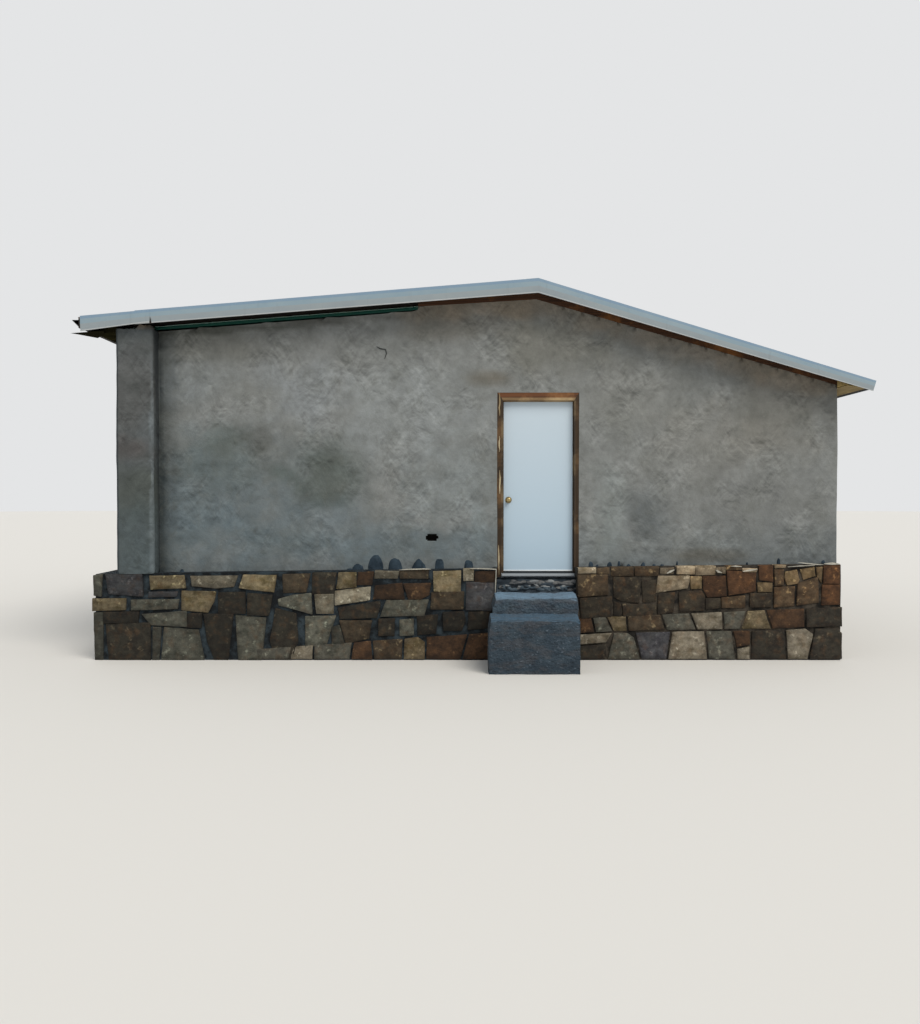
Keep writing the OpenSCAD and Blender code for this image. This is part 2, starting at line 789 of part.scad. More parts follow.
module door_leaf() {
    x0 = door_x - leaf_w / 2;
    x1 = door_x + leaf_w / 2;
    bevel = leaf_t * tan(3);
    color(door_colour) place() difference() {
        translate([0, 0, leaf_bottom]) linear_extrude(leaf_h)
            polygon([[x0 + bevel, leaf_face_y], [x1, leaf_face_y], [x1, leaf_back_y],
                [x0, leaf_back_y]]);
        hinge_seat(x1 - hinge_leaf_t, x1 + 1);
        translate([knob_x, leaf_back_y + 1, knob_z]) rotate([90, 0, 0])
            cylinder(r = spindle_bore_r, h = leaf_t + 2);
    }
}

// Round plates that cover the spindle's bore on both faces of the door
module knob_roses() {
    color(brass_colour) place() for (y = [leaf_face_y - rose_t, leaf_back_y])
        translate([knob_x, y, knob_z]) rotate([-90, 0, 0]) difference() {
            union() {
                cylinder(r = rose_r, h = rose_t / 2);
                cylinder(r = rose_r - 4, h = rose_t);
            }
            translate([0, 0, -1]) cylinder(r = spindle_bore_r, h = rose_t + 2);
        }
}

// Half of the turned knob's profile: radius, and distance from the door's mid-plane
module knob_profile() {
    face = leaf_t / 2 + rose_t;
    polygon([[0, 0], [spindle_r, 0], [spindle_r, face + 2], [15, face + 4],
        [15, face + 9], [11, face + 14], [11, face + 22], [20, face + 28],
        [26, face + 36], [27, face + 44], [24, face + 53], [16, face + 58],
        [0, face + 60]]);
}

module door_knob() {
    color(brass_colour) place()
        translate([knob_x, (leaf_face_y + leaf_back_y) / 2, knob_z]) {
            rotate([90, 0, 0]) rotate_extrude() knob_profile();
            rotate([-90, 0, 0]) rotate_extrude() knob_profile();
        }
}

plinth_front_left();
plinth_front_right();
plinth_left();
plinth_right();
plinth_rear();
sill_course();
upper_step();
lower_step();
floor_slab();
front_wall_left();
front_wall_right();
front_wall_over_door();
left_wall();
right_wall();
rear_wall();
corner_pilaster();
ridge_beam();
rafters_left();
rafters_right();
gable_rafters();
gable_plates();
eave_fascias();
roof_deck_left();
roof_deck_right();
roof_sheet_left();
roof_sheet_right();
ridge_cap();
barge_board_front();
barge_board_rear();
rake_trim_front_left();
rake_trim_front_right();
rake_trim_rear_left();
rake_trim_rear_right();
eave_trim_left();
eave_trim_right();
soffit_left();
soffit_right();
door_buck();
door_jamb();
threshold();
frame_hinges();
door_leaf();
leaf_hinges();
knob_roses();
door_knob();
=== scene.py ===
"""Dresses an adobe house in fieldstone, mud plaster, concrete, timber and sheet metal.

Everything is in metres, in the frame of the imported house: +X to the right seen from the front,
+Y from the front with the door towards the back, +Z up, the ground at z = 0.
"""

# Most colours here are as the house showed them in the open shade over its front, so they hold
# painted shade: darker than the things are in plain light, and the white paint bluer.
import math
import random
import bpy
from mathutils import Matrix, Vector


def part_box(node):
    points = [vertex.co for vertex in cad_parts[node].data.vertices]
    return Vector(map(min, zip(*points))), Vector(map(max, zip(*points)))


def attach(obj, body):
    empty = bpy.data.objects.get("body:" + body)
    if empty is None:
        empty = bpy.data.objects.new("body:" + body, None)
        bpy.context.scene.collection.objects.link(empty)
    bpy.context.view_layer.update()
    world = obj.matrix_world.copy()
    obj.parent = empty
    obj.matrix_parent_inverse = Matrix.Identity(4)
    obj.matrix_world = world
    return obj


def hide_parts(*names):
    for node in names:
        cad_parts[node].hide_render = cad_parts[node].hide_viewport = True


bl_info = {
    "name": "Adobe House",
    "version": (1, 0, 0),
    "blender": (4, 5, 0),
    "location": "View3D > Sidebar > Adobe House",
    "description": "Dresses an adobe house in stone, plaster, concrete, timber and sheet metal",
    "category": "Object",
}

import bmesh
import bpy
from bpy.props import FloatProperty, FloatVectorProperty, IntProperty, PointerProperty
from mathutils import Euler, Matrix, Vector, noise
from mathutils.bvhtree import BVHTree

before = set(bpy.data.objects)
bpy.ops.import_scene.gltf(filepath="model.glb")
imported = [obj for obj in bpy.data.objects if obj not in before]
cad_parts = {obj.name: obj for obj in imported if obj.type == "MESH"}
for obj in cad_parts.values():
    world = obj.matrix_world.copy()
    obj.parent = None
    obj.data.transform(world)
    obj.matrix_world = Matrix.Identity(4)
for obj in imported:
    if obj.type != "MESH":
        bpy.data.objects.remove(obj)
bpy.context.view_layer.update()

UP = Vector((0, 0, 1))
FRONT = Vector((0, -1, 0))
LEFT = Vector((-1, 0, 0))
RIGHT = Vector((1, 0, 0))
REAR = Vector((0, 1, 0))

# The photograph's view: its size and its focal length in pixels, and the horizon's height in it
PHOTO_W = 920
PHOTO_H = 1024
FOCAL_PX = 921.0
HORIZON_PX = 497.0
EYE_HEIGHT = 1.90
EYE_TO_WALL = 10.9
EYE_LEFT_OF_WALL_MIDDLE = 0.235

WALL_FACE_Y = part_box("front_wall_left")[0].y
WALL_MIDDLE_X = (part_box("front_wall_left")[0].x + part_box("front_wall_right")[1].x) / 2
EYE = Vector((WALL_MIDDLE_X - EYE_LEFT_OF_WALL_MIDDLE, WALL_FACE_Y - EYE_TO_WALL, EYE_HEIGHT))
PITCH = math.atan((PHOTO_H / 2 - HORIZON_PX) / FOCAL_PX)
EYE_TURN = Euler((math.pi / 2 - PITCH, 0, 0))
PIXEL_AT_WALL = EYE_TO_WALL / FOCAL_PX
WALL_FRAME = Vector((WALL_MIDDLE_X, WALL_FACE_Y, 0))

# Height of the gap that shows between the plaster and the green plate over it
PLATE_GAP = 0.014

# The plate's section: how far in from its face and how far below its top each corner lies, and
# which of its sides carry a painted highlight
PLATE_SECTION = ((0.0, 0.056), (0.0, 0.024), (0.007, 0.015), (0.016, 0.012), (0.086, 0.012),
                 (0.086, 0.056))
PLATE_HIGHLIGHTED = (1, 2)

# Distances between the ribs of the roof sheets and between the screws along a rib, and how far
# the first screw is from the end of its sheet
RIB_PITCH = 0.3
SCREW_PITCH = 0.9
SCREW_MARGIN = 0.15

# The folds of the front rake trims: how far down the face each lies, and how far back it is
# set. The strips between them have four coats of the white paint, and the numbers say which is
# whose; the first coat, on the top strips, is bluer with a painted reflection of the sky.
TRIM_FOLDS = ((0.0, 0.07), (0.0, 0.0), (0.20, -0.001), (0.52, -0.002), (0.56, -0.002),
              (0.91, 0.0015), (0.92, -0.003), (0.985, -0.003), (1.0, 0.0015))
TRIM_COATS = (0, 0, 1, 2, 2, 3, 3, 3)

# Thickness of the plinth's stones, and the greatest width of a face of their meshes
STONE_THICK = 0.11
STONE_MESH = 0.075

# Points nearer than this to a plane lie on it
SAME_PLACE = 0.001

# A cut that would pass nearer than this to a point goes through the point: in large meshes, and
# in single stones
CUT_SNAP = 0.0005
STONE_SNAP = 0.002

# How far the wear of the steps' front left corners reaches
WORN_CORNER = 0.16

# Height at which the walls begin to show damp, and how far below it the damp is full
DAMP_TOP = 1.75
DAMP_FADE = 0.75

# Length and width of the grain of sawn timber
GRAIN_LONG_MM = 700
GRAIN_WIDE_MM = 14

# The floor, and the lamp: the angle that it fills seen from the house, and how it is turned
FLOOR_RADIUS = 120.0
LAMP_SPREAD = math.radians(35)
LAMP_TURN = Euler((math.radians(42), 0, math.radians(32)))

# Corners of the front's stones, read off three enlarged parts of the photograph. Each
# part has its top left corner in the photograph and how many times it was enlarged. A letter
# names the stone's tone: b brown, d dark brown, r rust, o ochre, c cream, g grey, m mauve. A
# capital marks a stone that is paler than most of its tone, and a minus sign a darker one.
STONES_LEFT = {
    "corner": (88, 560),
    "zoom": 7.396,
    "stones": (
        ("g", (38, 118), (98, 108), (92, 268), (40, 262)),
        ("m-", (125, 112), (395, 108), (403, 268), (150, 250)),
        ("o", (455, 122), (705, 118), (715, 205), (465, 215)),
        ("c-", (755, 122), (1102, 120), (1075, 195), (930, 208), (768, 192)),
        ("O", (1150, 112), (1388, 118), (1370, 238), (1115, 205)),
        ("o", (25, 290), (275, 288), (272, 368), (30, 375)),
        ("g", (318, 298), (668, 295), (655, 360), (320, 372)),
        ("m-", (450, 240), (655, 238), (650, 270), (445, 275)),
        ("o", (690, 232), (942, 238), (925, 310), (880, 388), (690, 370)),
        ("d-", (962, 245), (1155, 240), (1160, 395), (965, 398)),
        ("d", (1180, 250), (1360, 262), (1330, 412), (1178, 408)),
        ("d-", (110, 388), (370, 385), (365, 462), (115, 468)),
        ("g", (395, 405), (722, 382), (730, 495), (470, 480)),
        ("d-", (738, 398), (838, 398), (832, 500), (735, 498)),
        ("d-", (855, 402), (1070, 405), (1052, 560), (1030, 690), (935, 700), (880, 600)),
        ("g", (1088, 410), (1312, 432), (1280, 668), (1112, 672)),
        ("d", (1390, 362), (1535, 400), (1550, 600), (1500, 665), (1385, 668), (1345, 590)),
        ("g-", (40, 392), (105, 392), (105, 745), (48, 745)),
        ("d", (130, 478), (455, 468), (458, 700), (345, 708), (150, 712)),
        ("g-", (478, 500), (535, 500), (520, 700), (475, 690)),
        ("g", (560, 500), (812, 520), (855, 700), (540, 722)),
    ),
}
STONES_MIDDLE = {
    "corner": (295, 560),
    "zoom": 7.649,
    "stones": (
        ("b", (-94, 115), (112, 108), (80, 245), (-90, 250)),
        ("d", (135, 100), (312, 100), (295, 262), (130, 262)),
        ("o", (335, 100), (465, 98), (465, 205), (330, 222), (318, 215)),
        ("r-", (482, 98), (600, 92), (585, 190), (475, 190)),
        ("c-", (615, 88), (795, 88), (780, 140), (610, 138)),
        ("b", (800, 85), (1020, 78), (1015, 140), (805, 140)),
        ("O", (1060, 92), (1265, 85), (1265, 245), (1065, 240)),
        ("C", (1290, 70), (1365, 68), (1362, 158), (1292, 158)),
        ("r-", (1380, 92), (1530, 85), (1530, 170), (1375, 172)),
        ("G", (-132, 305), (-20, 272), (120, 258), (128, 415), (-125, 345)),
        ("c", (150, 268), (290, 262), (290, 410), (165, 408)),
        ("C", (305, 240), (575, 208), (568, 305), (305, 345)),
        ("r-", (615, 200), (815, 180), (835, 300), (600, 300)),
        ("r", (830, 185), (1035, 180), (1025, 265), (960, 300), (870, 300)),
        ("b", (1045, 252), (1290, 245), (1285, 375), (1040, 378)),
        ("m", (1315, 175), (1535, 175), (1530, 340), (1500, 385), (1310, 380)),
        ("G", (80, 435), (310, 430), (265, 550), (240, 640), (80, 672)),
        ("d", (330, 370), (645, 318), (650, 350), (620, 440), (345, 450)),
        ("g", (700, 312), (1018, 308), (985, 425), (655, 430)),
        ("b", (340, 465), (585, 468), (560, 600), (390, 640)),
        ("g-", (280, 520), (335, 500), (374, 640), (285, 645)),
        ("d", (640, 455), (760, 450), (755, 580), (640, 580)),
        ("G", (802, 462), (902, 455), (905, 575), (805, 578)),
        ("d-", (935, 435), (1090, 420), (1075, 560), (940, 575)),
        ("d-", (1130, 405), (1290, 398), (1300, 470), (1275, 540), (1140, 540)),
        ("d-", (1330, 402), (1500, 398), (1500, 520), (1325, 535)),
    ),
}
STONES_RIGHT = {
    "corner": (575, 555),
    "zoom": 5.702,
    "stones": (
        ("C", (22, 78), (118, 75), (118, 102), (22, 104)),
        ("B", (130, 80), (195, 75), (195, 105), (128, 105)),
        ("b", (210, 72), (330, 68), (332, 118), (212, 120)),
        ("b", (345, 72), (478, 68), (475, 118), (345, 118)),
        ("c-", (490, 78), (565, 75), (562, 108), (488, 105)),
        ("C", (585, 62), (684, 62), (684, 108), (582, 108)),
        ("c", (692, 60), (802, 58), (800, 113), (692, 113)),
        ("c-", (808, 75), (858, 70), (858, 105), (812, 100)),
        ("B", (868, 65), (950, 62), (950, 82), (868, 85)),
        ("C", (958, 78), (1040, 80), (1035, 95), (960, 95)),
        ("r", (1055, 65), (1128, 58), (1130, 150), (1055, 140)),
        ("c", (1142, 60), (1205, 58), (1200, 72), (1145, 75)),
        ("b", (1142, 85), (1190, 88), (1190, 170), (1145, 175)),
        ("o", (1205, 100), (1265, 85), (1282, 140), (1270, 160), (1215, 172), (1200, 130)),
        ("o", (1290, 85), (1365, 70), (1372, 118), (1308, 140)),
        ("r", (1422, 62), (1512, 58), (1512, 162), (1422, 162)),
        ("o-", (1382, 72), (1412, 70), (1405, 160), (1385, 120)),
        ("b", (18, 115), (185, 115), (190, 225), (20, 240)),
        ("d", (222, 128), (345, 128), (372, 155), (365, 272), (270, 262), (225, 240)),
        ("d", (385, 150), (460, 145), (462, 265), (390, 270)),
        ("c", (478, 122), (655, 122), (652, 160), (640, 188), (465, 215)),
        ("o", (662, 125), (722, 125), (722, 190), (665, 192)),
        ("r-", (732, 122), (858, 122), (865, 232), (760, 240), (735, 190)),
        ("r", (870, 92), (1035, 102), (1030, 205), (880, 230)),
        ("o-", (1045, 160), (1128, 162), (1125, 208), (1048, 210)),
        ("b", (1142, 185), (1255, 182), (1250, 290), (1140, 298)),
        ("b", (1275, 165), (1385, 130), (1390, 270), (1270, 285)),
        ("r", (1415, 172), (1512, 172), (1512, 280), (1412, 285)),
        ("d", (30, 250), (210, 240), (205, 350), (38, 362)),
        ("d-", (225, 268), (262, 280), (262, 345), (225, 348)),
        ("d", (275, 282), (462, 285), (465, 340), (280, 350)),
        ("d", (478, 225), (570, 215), (560, 325), (475, 340)),
        ("d", (595, 215), (720, 205), (740, 240), (735, 315), (600, 320)),
        ("b", (840, 245), (970, 235), (970, 300), (842, 300)),
        ("d", (748, 250), (830, 248), (832, 300), (750, 312)),
        ("d", (1005, 220), (1120, 222), (1118, 295), (1000, 298)),
    ),
}
TONES = "bdrocgm"
PALER = 1.45
DARKER = 0.66

# The stone of each tone: its name, its colour, its iron stain and its pale scars
STONE_FINISHES = (
    ("brown sandstone", "#3f362a", "#2d2419", "#77694f"),
    ("dark brown sandstone", "#2b2821", "#1d1914", "#564e3f"),
    ("rust-stained sandstone", "#402d1d", "#2b1d12", "#70563a"),
    ("ochre sandstone", "#655a46", "#4a4029", "#9c8f6f"),
    ("cream sandstone", "#766f61", "#575041", "#ada695"),
    ("grey sandstone", "#4e4d45", "#35362f", "#7b7c6f"),
    ("mauve slate", "#434447", "#313136", "#6a686a"),
)

# Tints of the front's stones: at the left they lie in blue shade, at the right warm light
# comes back from the ground
TINT_LEFT = Vector((0.86, 0.89, 0.88))
TINT_RIGHT = Vector((1.50, 1.32, 1.14))
PLAIN_TINT = Vector((1.0, 1.0, 1.0))

# The light changes over this many pixels to the right of the photograph's middle
WARMING_RUN_PX = 370

# Stains of the front wall, and the painted shadows that the pilaster and the green plate cast on
# it, listed: place in the photograph, half width and half height in metres, colour, and how much
# of the wall's own colour it covers
FRONT_STAINS_AND_SHADOWS = (
    (250, 490, 1.70, 0.95, "#4f5c62", 0.42),
    (200, 345, 0.95, 0.22, "#6a6a63", 0.50),
    (190, 385, 0.60, 0.30, "#757c7f", 0.50),
    (190, 520, 1.20, 0.72, "#55636a", 0.70),
    (215, 462, 0.75, 0.40, "#5a6465", 0.60),
    # Painted shadow of the pilaster on the wall beside it, in the next two
    (168, 440, 0.16, 2.20, "#444b4e", 0.62),
    (161, 440, 0.060, 2.30, "#2c3335", 0.90),
    (222, 440, 0.22, 0.24, "#555d5a", 0.55),
    (262, 442, 0.16, 0.26, "#5b5a55", 0.50),
    (330, 470, 0.40, 0.42, "#4f5753", 0.70),
    (210, 466, 0.22, 0.05, "#454d4e", 0.60),
    (231, 492, 0.13, 0.05, "#464e4f", 0.60),
    (249, 438, 0.11, 0.07, "#525654", 0.60),
    (258, 450, 0.09, 0.06, "#4f5351", 0.60),
    (281, 471, 0.16, 0.12, "#4d5653", 0.60),
    (328, 465, 0.17, 0.10, "#494f4c", 0.60),
    (302, 491, 0.10, 0.11, "#4d5452", 0.60),
    (324, 500, 0.16, 0.08, "#4a514e", 0.60),
    (182, 430, 0.20, 0.14, "#727a7c", 0.55),
    (214, 434, 0.17, 0.06, "#6f7879", 0.60),
    (270, 376, 0.24, 0.20, "#858b8f", 0.50),
    (336, 516, 0.26, 0.08, "#72797c", 0.60),
    (390, 424, 0.04, 0.09, "#5d6364", 0.60),
    (478, 530, 0.08, 0.32, "#7f8a8d", 0.60),
    (305, 395, 0.55, 0.40, "#81878b", 0.55),
    (410, 415, 0.95, 0.60, "#868b8c", 0.75),
    (460, 480, 0.75, 0.55, "#7a8284", 0.55),
    (455, 325, 0.80, 0.22, "#6b6860", 0.60),
    (560, 345, 0.80, 0.36, "#717068", 0.60),
    (488, 378, 0.26, 0.10, "#5b5345", 0.60),
    (400, 545, 1.70, 0.22, "#58656b", 0.60),
    (345, 535, 0.80, 0.35, "#5f6b71", 0.50),
    (640, 400, 0.80, 0.60, "#7b7c78", 0.50),
    (700, 440, 0.90, 0.50, "#82827e", 0.45),
    (780, 400, 0.70, 0.80, "#727069", 0.55),
    (610, 520, 0.25, 0.60, "#7d8585", 0.60),
    (645, 515, 0.30, 0.36, "#555b5e", 0.65),
    (700, 556, 0.55, 0.10, "#5c584f", 0.65),
    (760, 500, 0.90, 0.45, "#6f7170", 0.55),
    (810, 545, 0.60, 0.20, "#65696a", 0.55),
    # Painted shadow of the green plate along the top of the wall, in the last five
    (150, 334, 0.45, 0.06, "#34362f", 0.70),
    (200, 331, 0.50, 0.06, "#383b36", 0.70),
    (260, 327, 0.50, 0.05, "#3b3e39", 0.65),
    (325, 321, 0.50, 0.05, "#3d3e39", 0.60),
    (385, 316, 0.45, 0.04, "#41403a", 0.60),
)
# Where the wall is browner under the eave, along the roof's line in the photograph. The stain there
# is also painted light: paler than the stains around it, to lift the shade under the eave.
UNDER_EAVE_STAIN_AND_LIGHT = ((425, 310), (475, 306), (520, 303), (560, 308), (610, 322), (660, 337), (710, 351),
              (760, 366), (808, 381))
PILASTER_STAINS = (
    (135, 390, 0.35, 0.60, "#565655", 0.60),
    (135, 450, 0.30, 0.18, "#4f4947", 0.60),
    (135, 490, 0.35, 0.40, "#464b45", 0.60),
    (135, 540, 0.35, 0.40, "#4a5558", 0.60),
)

# The hole in the plaster, in the photograph: its middle, half width and half height in pixels
HOLE = (432.0, 537.5, 6.2, 3.4)

# The crack in the plaster, and the pats of mortar along the foot of the wall: the middle, the
# top and the half width of each in the photograph
CRACK = ((376.5, 346.5), (380.0, 348.5), (385.5, 349.5), (386.5, 353.0), (384.5, 359.0))
PATS = (
    (358.2, 564.6, 6.5), (375.8, 554.8, 7.2), (395.2, 557.4, 7.2), (418.9, 559.6, 7.0),
    (439.5, 558.6, 4.6), (468.5, 559.2, 4.6), (591.0, 561.4, 2.5), (597.0, 564.2, 2.0),
    (609.5, 562.0, 2.8), (619.0, 561.2, 1.3), (628.5, 564.0, 2.4), (643.0, 562.6, 2.6),
    (654.0, 564.0, 2.1), (662.0, 564.2, 2.4), (677.0, 561.0, 0.8), (747.0, 562.2, 1.3),
    (778.5, 558.2, 1.7), (823.0, 560.2, 2.2), (182.0, 569.0, 3.0), (350.0, 567.5, 4.0),
)

# The pale smears of mortar on top of the plinth, in the photograph: half the width of each in
# pixels, and the points it passes through
SMEARS = (
    (0.5, (470.0, 568.6), (479.0, 568.6), (488.0, 568.9), (496.2, 569.3), (496.0, 576.0),
     (495.6, 585.0), (495.2, 593.0)),
    (0.5, (399.0, 570.0), (408.0, 569.4), (424.0, 569.0), (431.0, 569.2)),
    (1.0, (667.0, 573.4), (671.0, 571.4), (674.5, 569.8)),
    (1.1, (716.0, 570.0), (718.5, 571.6), (722.0, 572.8)),
    (0.7, (731.0, 566.3), (736.0, 566.2), (742.0, 566.6)),
    (0.9, (743.0, 571.4), (750.0, 570.2), (757.5, 569.4)),
    (0.5, (788.0, 567.0), (800.0, 566.0), (815.0, 565.4)),
    (0.5, (798.0, 562.4), (806.0, 563.4), (816.0, 564.4), (824.0, 564.8)),
    (1.2, (824.5, 563.9), (833.0, 563.6), (840.0, 564.2)),
)

# The lap of the left rake trim in the photograph, and the depths of its face in metres at the
# eave, before the lap, after it and at the ridge
LAP_PX = (135.6, 150.5)
LEFT_TRIM_DEPTHS = (0.180, 0.146, 0.158, 0.168)
# Corners, in pixels as above, of a dark sheet painted as the shadow at the foot of the lap
LAP_SHADOW = ((150.0, 316.5), (149.2, 324.0), (151.6, 323.6))

# The flashing that has come loose at the left eave, from the middle of the wall's face
LOOSE_FLAP = ((-4.705, -0.30, 3.780), (-4.66, -0.20, 3.783), (-4.628, 0.30, 3.826),
              (-4.45, 0.05, 3.824), (-4.33, -0.28, 3.812))

# The plywood that closes the end of the right soffit over the barge board, in the photograph
EAVE_RETURN = ((837.6, 377.0), (837.6, 387.4), (846.0, 384.9), (852.0, 383.4), (852.0, 381.0))

# Heights of the lower edge of the stones that show, at the left end, the door and the right end
SEEN_FOOT_LEFT = (0.0, 0.34)
SEEN_FOOT_RIGHT = (0.50, 0.63)

# Over this length from the left end, the stones that show reach the ground
FULL_STONES_LEFT = 1.9

# Slivers split off the left leg of the rough door frame, in the photograph: where the leg
# stands, and the top and the foot of each sliver
SPLITS_X_PX = 499.0
SPLITS = ((391, 416), (436, 452), (470, 494), (545, 575))


def linear(code):
    """Turns an sRGB hex colour into linear red, green, blue and alpha."""
    parts = [int(code[i : i + 2], 16) / 255 for i in (1, 3, 5)]
    parts = [c / 12.92 if c <= 0.04045 else ((c + 0.055) / 1.055) ** 2.4 for c in parts]
    return (*parts, 1.0)


def per_metre(size_mm):
    """Scale of a pattern whose marks are size_mm apart."""
    return 1000.0 / size_mm


def clamped(value, low=0.0, high=1.0):
    """The value, kept between low and high."""
    return min(max(value, low), high)


def between(low, high, share):
    """The value at a share of the way from low to high."""
    return low + (high - low) * share


def seen_at(x_px, y_px, plane_y):
    """The point of the plane y = plane_y that the photograph shows at a pixel."""
    ray = Vector((x_px - PHOTO_W / 2, PHOTO_H / 2 - y_px, -FOCAL_PX))
    ray.rotate(EYE_TURN)
    return EYE + ray * ((plane_y - EYE.y) / ray.y)


def add(tree, kind, inputs=None, **settings):
    """Adds a node, sets its properties, and sets or links its inputs."""
    node = tree.nodes.new(kind)
    for name, value in settings.items():
        setattr(node, name, value)
    for key, value in (inputs or {}).items():
        if isinstance(value, bpy.types.NodeSocket):
            tree.links.new(value, node.inputs[key])
        else:
            node.inputs[key].default_value = value
    return node


# Places of the sockets of a Mix node, which has one set for colours and one for vectors
COLOUR_OUT = 2
COLOUR_A = 6
COLOUR_B = 7
VECTOR_OUT = 1
VECTOR_A = 4
VECTOR_B = 5


class Finish:
    """A material while it is made: its nodes, and the colour that has been laid on so far."""

    def __init__(self, name, base, roughness, **sockets):
        self.material = bpy.data.materials.new(name)
        self.material.use_nodes = True
        self.tree = self.material.node_tree
        self.shader = self.tree.nodes["Principled BSDF"]
        self.shader.inputs["Roughness"].default_value = roughness
        for socket, value in sockets.items():
            self.shader.inputs[socket.replace("_", " ")].default_value = value
        self.place = add(self.tree, "ShaderNodeTexCoord").outputs["Object"]
        self.colour = linear(base)

    def patches(self, size_mm, low, high, detail=4.0, at=None, rough=0.6, least=0.0, most=1.0):
        """A factor from least to most that is high in irregular patches of about size_mm."""
        cloud = add(self.tree, "ShaderNodeTexNoise", {
            "Vector": self.place if at is None else at, "Scale": per_metre(size_mm),
            "Detail": detail, "Roughness": rough})
        return add(self.tree, "ShaderNodeMapRange", {
            "Value": cloud.outputs["Fac"], "From Min": low, "From Max": high,
            "To Min": least, "To Max": most}).outputs["Result"]

    def lay(self, over, factor, amount=1.0):
        """Lays the hex colour over on what is there, by amount, where factor is high."""
        if amount < 1.0:
            factor = add(self.tree, "ShaderNodeMath", {0: factor, 1: amount},
                         operation="MULTIPLY").outputs[0]
        mix = add(self.tree, "ShaderNodeMix", {
            0: factor, COLOUR_A: self.colour, COLOUR_B: linear(over)}, data_type="RGBA")
        self.colour = mix.outputs[COLOUR_OUT]

    def done(self, height, depth_mm, strength=1.0):
        """Links the colour, and raises the surface by depth_mm where height is 1."""
        self.tree.links.new(self.colour, self.shader.inputs["Base Color"])
        bump = add(self.tree, "ShaderNodeBump", {
            "Height": height, "Distance": depth_mm / 1000.0, "Strength": strength})
        self.tree.links.new(bump.outputs["Normal"], self.shader.inputs["Normal"])
        return self.material

    def grained(self, size_mm, depth_mm, detail, rough=0.5, at=None, strength=1.0):
        """Ends a material whose relief is uneven marks of size_mm, raised by depth_mm."""
        grain = add(self.tree, "ShaderNodeTexNoise", {
            "Vector": self.place if at is None else at, "Scale": per_metre(size_mm),
            "Detail": detail, "Roughness": rough})
        return self.done(grain.outputs["Fac"], depth_mm, strength)


def fieldstone(name, base, stain, light):
    """Split sandstone: cleft faces with iron stains and pale crystalline scars."""
    coat = Finish(name, base, 0.86, Specular_IOR_Level=0.3)
    tree = coat.tree
    # The bedding planes run roughly level and give the stone faint bands
    bands = add(tree, "ShaderNodeMapping", {
        "Vector": coat.place, "Scale": (1.0, 1.0, 1.6), "Rotation": (0.12, 0.07, 0)}).outputs[0]
    coat.lay(stain, coat.patches(130, 0.45, 0.66, at=bands))
    coat.lay(light, coat.patches(70, 0.60, 0.72))
    coat.lay("#644424", coat.patches(90, 0.50, 0.72), 0.24)
    coat.lay("#1e1915", coat.patches(7, 0.35, 0.7, 2.0), 0.3)
    value = coat.patches(75, 0.3, 0.7, 6.0, rough=0.72, least=0.55, most=1.55)
    mottled = add(tree, "ShaderNodeHueSaturation", {"Color": coat.colour, "Value": value})
    # The stone_tint attribute multiplies in painted light: shade, warm light from the ground, and
    # highlights along the stones' tops.
    tint = add(tree, "ShaderNodeAttribute", attribute_name="stone_tint").outputs["Color"]
    coat.colour = add(tree, "ShaderNodeMix", {
        0: 1.0, COLOUR_A: mottled.outputs["Color"], COLOUR_B: tint},
        data_type="RGBA", blend_type="MULTIPLY").outputs[COLOUR_OUT]
    return coat.grained(45, 9, 9.0, 0.68, bands)


def mortar(name, base, pale, dark):
    """Lime and cement mortar, struck roughly with a trowel: sandy, with damp and pale patches."""
    coat = Finish(name, base, 0.93, Specular_IOR_Level=0.2)
    coat.lay(pale, coat.patches(160, 0.42, 0.62))
    coat.lay(dark, coat.patches(60, 0.55, 0.75))
    return coat.grained(14, 6, 8.0, 0.75)


